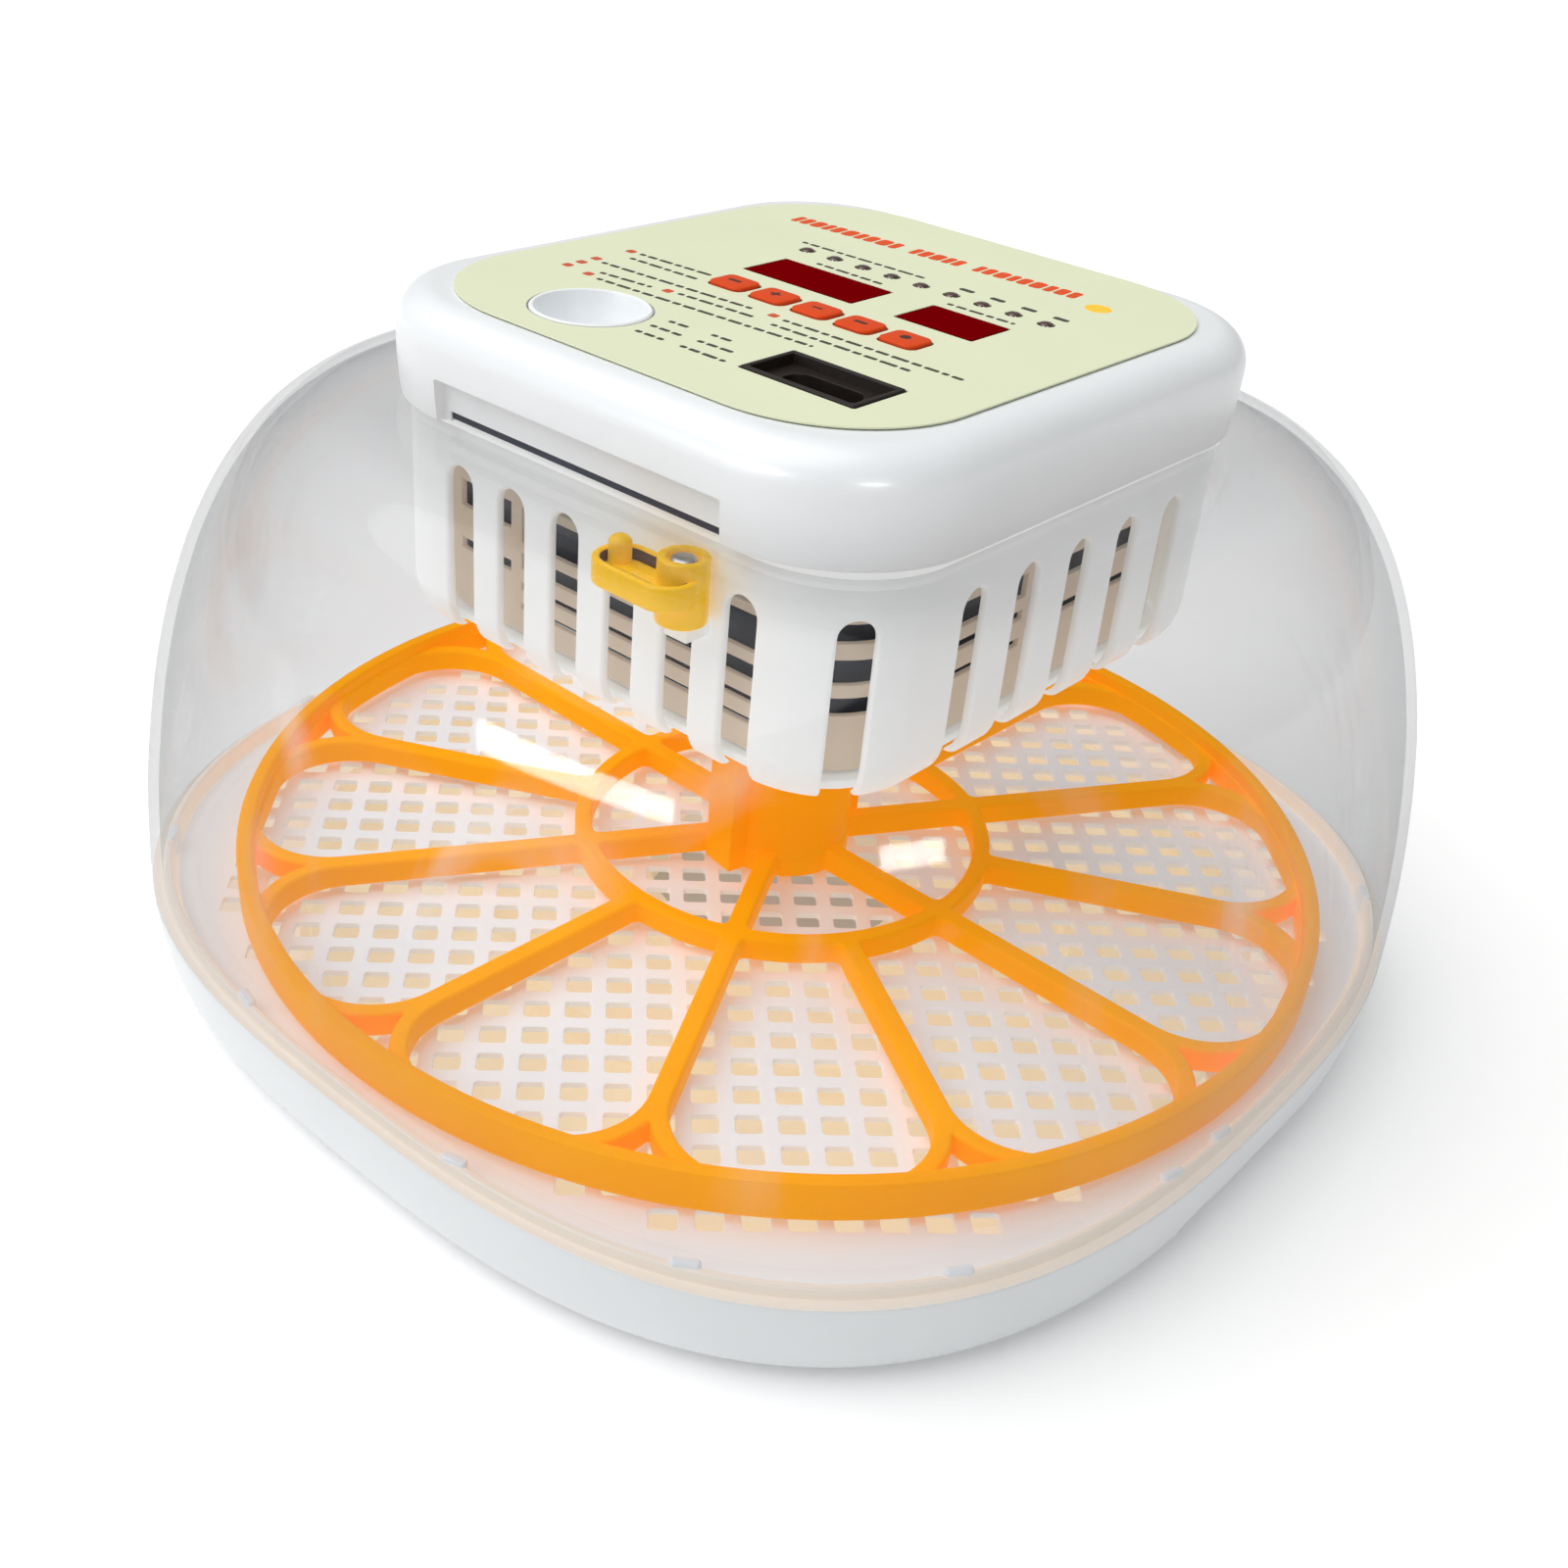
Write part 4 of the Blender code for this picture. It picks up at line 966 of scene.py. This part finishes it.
def wrap_outline(size, outlines, thickness, bevel, inset, z_range):
    """Bends a flat plate given by its outlines round a rounded rectangle."""
    total, find, _, _ = wall_path(size)
    flat = bmesh.new()
    add_plate(flat, outlines, 0.0, thickness, bevel, 2)
    for side, place in ((-1, 0.0), (1, total)):
        slice_at(flat, (place, 0, 0), (side, 0, 0), True)
    place = BEND_START
    while place < total - 0.7:
        slice_at(flat, (place, 0, 0), (1, 0, 0))
        place += BEND_PITCH
    for step in FOOT_CUTS:
        slice_at(flat, (0, z_range[0] + step, 0), (0, 1, 0))
    for v in flat.verts:
        (px, py), (nx, ny) = find(v.co.x)
        depth = thickness - v.co.z + inset(v.co.y)
        v.co = (px - nx * depth, py - ny * depth, v.co.y)
    bmesh.ops.remove_doubles(flat, verts=flat.verts, dist=0.01)
    return flat


def build_liner():
    """The sleeve behind the slots: level windows between ribs, with a dark sheet behind them that paints
    the shade inside.
    """
    total, _, starts, (a, b, q) = wall_path(LINER_OUTER)
    front = starts["front"] + a
    corner = starts["corner"]
    right = starts["right"] + b
    left = starts["left"] + b
    spans = [
        (front - 24.0, front + 36.0, LINER_ROWS_FRONT),
        (corner + q * 0.12, corner + q * 0.88, LINER_ROWS + ((117.4, 120.4),)),
        (front - 42.0, front - 27.0, LINER_ROWS_FRONT_END),
        (right - 36.0, right - 4.0, LINER_ROWS_RIGHT),
        (right - 1.0, right + 36.0, LINER_ROWS_RIGHT_BACK),
        (left - 34.0, left + 34.0, LINER_ROWS),
        (5.0, a - 2.0, LINER_ROWS),
        (total - a + 2.0, total - 5.0, LINER_ROWS),
    ]
    z0, z1 = LINER_Z
    outlines = [[(-5.0, z0), (total + 5.0, z0), (total + 5.0, z1), (-5.0, z1)]]
    for s0, s1, levels in spans:
        for low, high in levels:
            outlines.append([(s0, low), (s1, low), (s1, high), (s0, high)])
    bm = wrap_outline(LINER_OUTER, outlines, 1.3, 0.25, lambda z: 0.0, LINER_Z)
    make("liner_sleeve", bm, LINER, "cover", ["cage_liner"], 34.0)
    # A dark sheet inside the sleeve paints the shade seen through its windows.
    bm = bmesh.new()
    size = shrink(LINER_OUTER, 3.0)
    inner = shrink(size, 0.5)
    rings = [rounded_ring(size, z0 + 4.0, 96), rounded_ring(size, z1 - 1.0, 96)]
    rings += [rounded_ring(inner, z1 - 1.0, 96), rounded_ring(inner, z0 + 4.0, 96)]
    add_loft(bm, rings, loop=True)
    make("liner_shade_sheet", bm, SHADE_DARK, "cover", (), 34.0)


def panel_holes(grow):
    """Outlines of every hole in the panel, each larger than its piece by grow."""
    out = []
    wider = 2 * grow
    for x, y, width, depth in DISPLAYS.values():
        out.append(rounded(x, y, width + wider, depth + wider, 0.3, 1))
    for k in range(5):
        x = BUTTON_FIRST[0] + BUTTON_PITCH * k
        out.append(rounded(x, BUTTON_FIRST[1], BUTTON_SIZE[0] + wider, BUTTON_SIZE[1] + wider, 1.9, 4))
    for k in range(9):
        out.append(circle(LED_FIRST[0] + LED_PITCH * k, LED_FIRST[1], LED_RADIUS + grow, 24))
    x, y, width, depth = INLET
    out.append(rounded(x, y, width + wider, depth + wider, 0.4, 1))
    out.append(circle(*FUNNEL, FUNNEL_RADIUS + 0.9 + grow, 64))
    return out


def build_lid():
    """The white lid with its rolled edge, the notch over the lever, the panel's holes and the film."""
    low, high = LID_Z
    rings = []
    for inset, rise in ((1.2, 0.0), (0.75, 0.25), (0.6, 0.8), (0.2, 5.0)):
        rings.append(rounded_ring(shrink(LID_OUTER, inset), low + rise))
    rings.append(rounded_ring(LID_OUTER, low + 9.0))
    for k in range(13):
        t = math.radians(7.5 * k)
        back = LID_ROUND * (1.0 - math.cos(t))
        rings.append(rounded_ring(shrink(LID_OUTER, back), high - LID_ROUND + LID_ROUND * math.sin(t)))
    inside = [rounded_ring(LID_INNER, low), rounded_ring(LID_INNER, high - 5.5)]
    inside.append(rounded_ring(shrink(LID_INNER, 4.0), high - 2.4))
    lid = bmesh.new()
    add_cap_shell(lid, rings, inside)
    width = 2 * NOTCH_HALF
    notch = rounded(0.0, (NOTCH_Y + NOTCH_FRONT_Y) / 2.0, width, NOTCH_Y - NOTCH_FRONT_Y, 0.8, 3)
    skirt = rounded(0.0, -68.0, width - 3.0, 16.0, 0.8, 3)
    for cut in (
        ([notch], low - 6.0, NOTCH_TOP, 0.5),
        ([skirt], low - 6.0, SKIRT_TOP, 0.3),
        (panel_holes(0.3), high - 8.0, high + 3.0),
    ):
        tool = bmesh.new()
        add_plate(tool, *cut)
        lid = cut_with(lid, tool)
    # A dark strip under the notch paints the shadow in the gap between the lid and the cage.
    strip = bmesh.new()
    add_plate(strip, [rounded(-0.6, -66.2, width - 2.0, 1.2, 0.3, 2)], *GAP_SHADOW_Z, 0.1, 1)
    make("notch_gap_shadow", strip, SHADE_DARK, "cover", (), 30.0)
    make("lid_cap", lid, WHITE, "cover", ["lid_shell"], 30.0)
    film = bmesh.new()
    add_plate(film, [rounded_outline(LABEL)] + panel_holes(0.35), *LABEL_Z, 0.1, 1)
    make("label_sheet", film, LABEL_FILM, "cover", ["panel_label"], 30.0)


def dash_row(x0, y0, x1, y1, height, word, gap, odd):
    """Level dashes along a line from one point to the other, standing in for print."""
    run = Vector((x1 - x0, y1 - y0))
    total = run.length
    lean = math.degrees(math.atan2(run.y, run.x))
    out = []
    s = 0.0
    k = 0
    while s < total - 0.6:
        length = min(word * (1.0 + odd * (((k * 37) % 11) / 5.0 - 1.0)), total - s)
        middle = Vector((x0, y0)) + run.normalized() * (s + length / 2.0)
        bar = rounded(middle.x, middle.y, length, height, min(height, length) * 0.32, 2)
        out.append(turned(bar, lean, (middle.x, middle.y)))
        s += length + gap
        k += 1
    return out


def build_marks():
    """Printed marks on the label: plain dashes and dots with no lettering."""
    top = LABEL_Z[1]
    title = []
    for x0, x1 in TITLE_SPANS:
        y0, y1 = (TITLE_Y + TITLE_LEAN * (x - TITLE_SPANS[0][0]) for x in (x0, x1))
        title += dash_row(x0, y0, x1, y1, 4.7, 2.3, 0.6, 0.3)
    notes = []
    for row in NOTE_ROWS:
        notes += dash_row(*row, 1.0, 2.6, 0.7, 0.45)
    for k in range(5, 9):
        notes.append(rounded(LED_FIRST[0] + LED_PITCH * k, LED_FIRST[1] + 5.2, 3.4, 1.5, 0.5, 2))
    points = [rounded(x, y, 2.0, 2.0, 0.5, 3) for x, y in POINT_PLACES]
    for name, ink, outlines in (
        ("mark_title", INK_ORANGE, title),
        ("mark_notes", INK_GREY, notes),
        ("mark_points", INK_RED, points),
        ("mark_badge", YELLOW, [circle(*BADGE, 32)]),
    ):
        bm = bmesh.new()
        for outline in outlines:
            add_plate(bm, [outline], top - 0.02, top + 0.05)
        make(name, bm, ink, "cover", (), 30.0, weighted=False)


def build_windows():
    """The two number windows, slightly crowned, with their digits unlit."""
    for name, (x, y, width, depth) in DISPLAYS.items():
        bm = bmesh.new()
        add_plate(bm, [rounded(x, y, width, depth, 0.4, 2)], 147.0, LABEL_Z[1] + 0.08, 0.25)
        piece = name.replace("display_window", "number_window")
        make(piece, bm, WINDOW_RED, "cover", [name], 30.0)


def build_buttons():
    """Five crowned keys, each with a small generic sign."""
    y = BUTTON_FIRST[1]
    width, depth = BUTTON_SIZE
    levels = ((0.0, 145.6), (0.0, 149.75), (0.12, 149.95), (0.4, 150.07), (1.1, 150.13), (2.2, 150.16))
    for k, sign in enumerate(("bar", "plus", "minus", "bar", "dot")):
        x = BUTTON_FIRST[0] + BUTTON_PITCH * k
        bm = bmesh.new()
        rings = []
        for inset, z in levels:
            shape = rounded(x, y, width - 2 * inset, depth - 2 * inset, max(1.7 - inset, 0.5), 5)
            rings.append([(px, py, z) for px, py in shape])
        add_loft(bm, rings)
        minus = rounded(x, y, 2.4, 0.7, 0.2, 2)
        shapes = {
            "bar": [rounded(x, y, 3.0, 1.1, 0.3, 2)],
            "plus": [minus, rounded(x, y, 0.7, 2.4, 0.2, 2)],
            "minus": [minus],
            "dot": [circle(x, y, 1.1, 20)],
        }[sign]
        first = len(bm.faces)
        for n, shape in enumerate(shapes):
            add_plate(bm, [shape], 150.1, 150.18 + 0.005 * n)
        paint_from(bm, first, 1)
        name = f"key_cap_{k + 1}"
        make(name, bm, [KEY_RED, INK_AND_SHADE_BLACK], f"key_{k + 1}", [f"button_{k + 1}"], 30.0)


def build_leds():
    """Nine small lamp lenses."""
    r = LED_RADIUS
    top = LABEL_Z[1]
    lens = [(r, 145.0), (r, top), (r * 0.92, top + 0.18), (r * 0.7, top + 0.34)]
    lens += [(r * 0.3, top + 0.43), (0.05, top + 0.45)]
    for k in range(9):
        bm = bmesh.new()
        lathe(bm, lens, (LED_FIRST[0] + LED_PITCH * k, LED_FIRST[1]), 28)
        name = f"lamp_{k + 1}"
        make(name, bm, LED_DARK, "cover", [f"led_lens_{k + 1}"], 40.0, weighted=False)


def build_inlet():
    """The mains inlet: a sunk face inside a thin rim, with its figure-of-eight socket and two pins."""
    x, y, width, depth = INLET
    top = LABEL_Z[1] + 0.3
    eight = arc(x + 3.7, y, 4.35, -62.0, 62.0, 14) + arc(x - 3.7, y, 4.35, 118.0, 242.0, 14)
    bm = bmesh.new()
    outer = rounded(x, y, width, depth, 0.4, 2)
    add_plate(bm, [outer, rounded(x, y, width - 2.2, depth - 2.2, 0.6, 2)], 146.0, top, 0.25)
    add_plate(bm, [rounded(x, y, width - 0.2, depth - 0.2, 0.4, 2), eight], 144.6, top - 2.0, 0.2)
    add_plate(bm, [rounded(x, y, width, depth, 0.4, 2)], 130.6, 137.4, 0.3)
    add_plate(bm, [rounded(x, y, width - 0.4, depth - 0.4, 0.4, 2), filleted(eight, 0.4)], 137.2, 144.8)
    make("inlet_body", bm, INLET_BLACK, "cover", ["mains_inlet"], 30.0)
    for side, node in ((-1, "inlet_pin_left"), (1, "inlet_pin_right")):
        bm = bmesh.new()
        pin = [(1.2, 137.7), (1.2, 145.2), (1.05, 145.9), (0.7, 146.3), (0.1, 146.4)]
        lathe(bm, pin, (x + side * 4.3, y), 24)
        piece = node.replace("inlet_pin", "contact_pin")
        make(piece, bm, METAL, "cover", [node], 40.0, weighted=False)


def build_filler():
    """The water filler: a smooth cup that runs into its long spout."""
    rim = FUNNEL_RADIUS
    top = LABEL_Z[1] + 0.25
    cup = [(rim + 0.85, top - 0.25), (rim + 0.55, top), (rim + 0.1, top - 0.06), (rim - 0.15, top - 0.5)]
    cup += [(rim - 0.4, 147.0), (rim - 1.0, 144.0), (rim - 2.4, 140.6), (rim - 4.6, 137.4), (5.0, 134.4)]
    cup += [(4.1, 131.6), (3.7, 128.0), (3.7, 86.2), (5.2, 86.2), (5.4, 130.0), (9.8, 135.6)]
    cup.append((rim + 0.9, 142.0))
    bm = bmesh.new()
    lathe(bm, cup, FUNNEL, 72, loop=True)
    make("filler_cup", bm, CUP_WHITE, "cover", ["water_filler"], 40.0)


def build_guard():
    """The round guard below the fan."""
    z = GUARD_Z
    bm = bmesh.new()
    outlines = [circle(0, 0, 49.6, 128), circle(0, 0, 19.0, 64)]
    for k in range(20):
        outlines.append(turned(rounded(33.0, 0.0, 22.0, 3.4, 1.6, 4), 18.0 * k + 9.0))
    add_plate(bm, outlines, z, z + 2.0, 0.5)
    wall = [(50.0, z + 0.4), (50.0, z + 1.6), (49.7, z + 2.0), (48.6, z + 2.2), (48.4, 82.6), (48.2, 82.9)]
    wall += [(46.6, 82.9), (46.4, 82.6), (46.4, z + 1.0), (48.0, z + 0.05), (49.6, z)]
    lathe(bm, wall, count=128, loop=True)
    make("guard_plate", bm, CAGE_WHITE, "cover", ["fan_guard"], 34.0)


# ---- vent lever


def build_lever():
    """The yellow vent lever: a dish and an upright finger on a pivot boss with a sunk screw."""
    cx, cy, width, depth, corner = LEVER_DISH
    low, floor, top = LEVER_DISH_Z
    outer = rounded(cx, cy, width, depth, corner, 12)
    narrow = 2.0 * LEVER_WALL
    inner = rounded(cx, cy, width - narrow, depth - narrow, corner - LEVER_WALL, 12)
    bm = bmesh.new()
    add_plate(bm, [outer, inner], low + 0.3, top, 0.55, 3)
    add_plate(bm, [rounded(cx, cy, width - 1.0, depth - 1.0, corner - 0.5, 12)], low, floor, 0.6, 3)
    # The inner face of the dish wall is painted black: painted shade in the dish.
    first = len(bm.faces)
    shade_lining = rounded(cx, cy, width - narrow - 0.5, depth - narrow - 0.5, corner - LEVER_WALL - 0.25, 12)
    add_plate(bm, [inner, shade_lining], floor - 0.3, top - 0.35)
    paint_from(bm, first, 1)
    radius, bottom, head = LEVER_BOSS
    boss = [circle(*LEVER_PIVOT, radius), circle(*LEVER_PIVOT, SCREW_RECESS[0])]
    add_plate(bm, boss, bottom, head, 0.5, 3)
    add_plate(bm, [circle(*LEVER_PIVOT, SCREW_RECESS[0] + 0.3)], bottom + 0.2, SCREW_RECESS[1])
    fx, fy, radius, tip = LEVER_FINGER
    finger = [(radius, floor - 1.0), (radius, tip - 1.6)]
    for k in range(1, 8):
        t = math.radians(12.5 * k)
        finger.append((radius * math.cos(t) + 0.02, tip - 1.6 + 1.6 * math.sin(t)))
    lathe(bm, finger, (fx, fy), 32)
    make("lever_dish", bm, [YELLOW, INK_AND_SHADE_BLACK], "vent", ["vent_lever"], 34.0)
    bm = bmesh.new()
    radius, under, head = SCREW_HEAD
    screw = [(radius, under), (radius, head - 0.4), (radius * 0.86, head - 0.1)]
    screw += [(radius * 0.6, head), (0.1, head)]
    lathe(bm, screw, LEVER_PIVOT, 32)
    make("lever_screw_head", bm, STEEL, "vent", ["vent_lever_screw"], 40.0, weighted=False)


# ---- stage


def add_area(name, place, aim, size, watts, roll):
    """One rectangular lamp aimed at a point that shows only in glossy surfaces, sizes in metres."""
    data = bpy.data.lights.new(name, "AREA")
    data.shape = "RECTANGLE"
    data.size, data.size_y = size
    data.energy = watts
    lamp = add_object(name, data)
    lamp.location = place
    lamp.visible_diffuse = False
    aimed = (Vector(aim) - Vector(place)).to_track_quat("-Z", "Y").to_matrix()
    lamp.rotation_euler = (aimed @ Matrix.Rotation(math.radians(roll), 3, "Z")).to_euler()


def build_stage():
    """The pale floor, the soft lamps and the surrounding light."""
    mesh = bpy.data.meshes.new("floor")
    bm = bmesh.new()
    rings = []
    for radius in FLOOR_RADII:
        rings.append([bm.verts.new((x, y, FLOOR_Z)) for x, y in circle(0.0, 0.0, radius, 64)])
    bm.faces.new(rings[0])
    add_band(bm, rings[1], rings[0])
    bm.to_mesh(mesh)
    bm.free()
    floor = add_object("floor", mesh)
    mesh.materials.append(moulded("floor_paint", srgb(252, 252, 252), 0.8, 0.004, 0.0, glow=0.12))
    sun = bpy.data.lights.new("sky_panel", "SUN")
    sun.energy = SKY_STRENGTH
    sun.angle = math.radians(SKY_ANGLE)
    add_object("sky_panel", sun).rotation_euler = Vector(SKY_WAY).to_track_quat("-Z", "Y").to_euler()
    for lamp in STRIP_LAMPS:
        add_area(*lamp)
    world = bpy.data.worlds.new("studio")
    bpy.context.scene.world = world
    world.use_nodes = True
    back = world.node_tree.nodes["Background"]
    back.inputs["Color"].default_value = (1.0, 1.0, 1.0, 1.0)
    back.inputs["Strength"].default_value = WORLD_STRENGTH


def build_camera():
    """The camera at the viewing angle."""
    a = math.radians(CAMERA_AZIMUTH)
    e = math.radians(CAMERA_ELEVATION)
    roll = math.radians(CAMERA_ROLL)
    back = Vector((math.sin(a) * math.cos(e), -math.cos(a) * math.cos(e), math.sin(e)))
    right = Vector((math.cos(a), math.sin(a), 0.0))
    up = back.cross(right)
    side = math.cos(roll) * right + math.sin(roll) * up
    top = -math.sin(roll) * right + math.cos(roll) * up
    data = bpy.data.cameras.new("view")
    data.sensor_fit = "HORIZONTAL"
    data.sensor_width = 36.0
    data.lens = CAMERA_LENS
    data.shift_x, data.shift_y = CAMERA_SHIFT
    data.clip_start = 0.01
    camera = add_object("view", data)
    turn = Matrix((side, top, back)).transposed().to_4x4()
    turn.translation = Vector(CAMERA_PLACE) * MM
    camera.matrix_world = turn
    bpy.context.scene.camera = camera


build_camera()
build_stage()
paint_frame()
build_tub()
build_grate()
build_turner()
build_dome()
build_cage()
build_liner()
build_lid()
build_marks()
build_windows()
build_buttons()
build_leds()
build_inlet()
build_filler()
build_guard()
build_lever()
bpy.context.scene.view_settings.view_transform = "Standard"
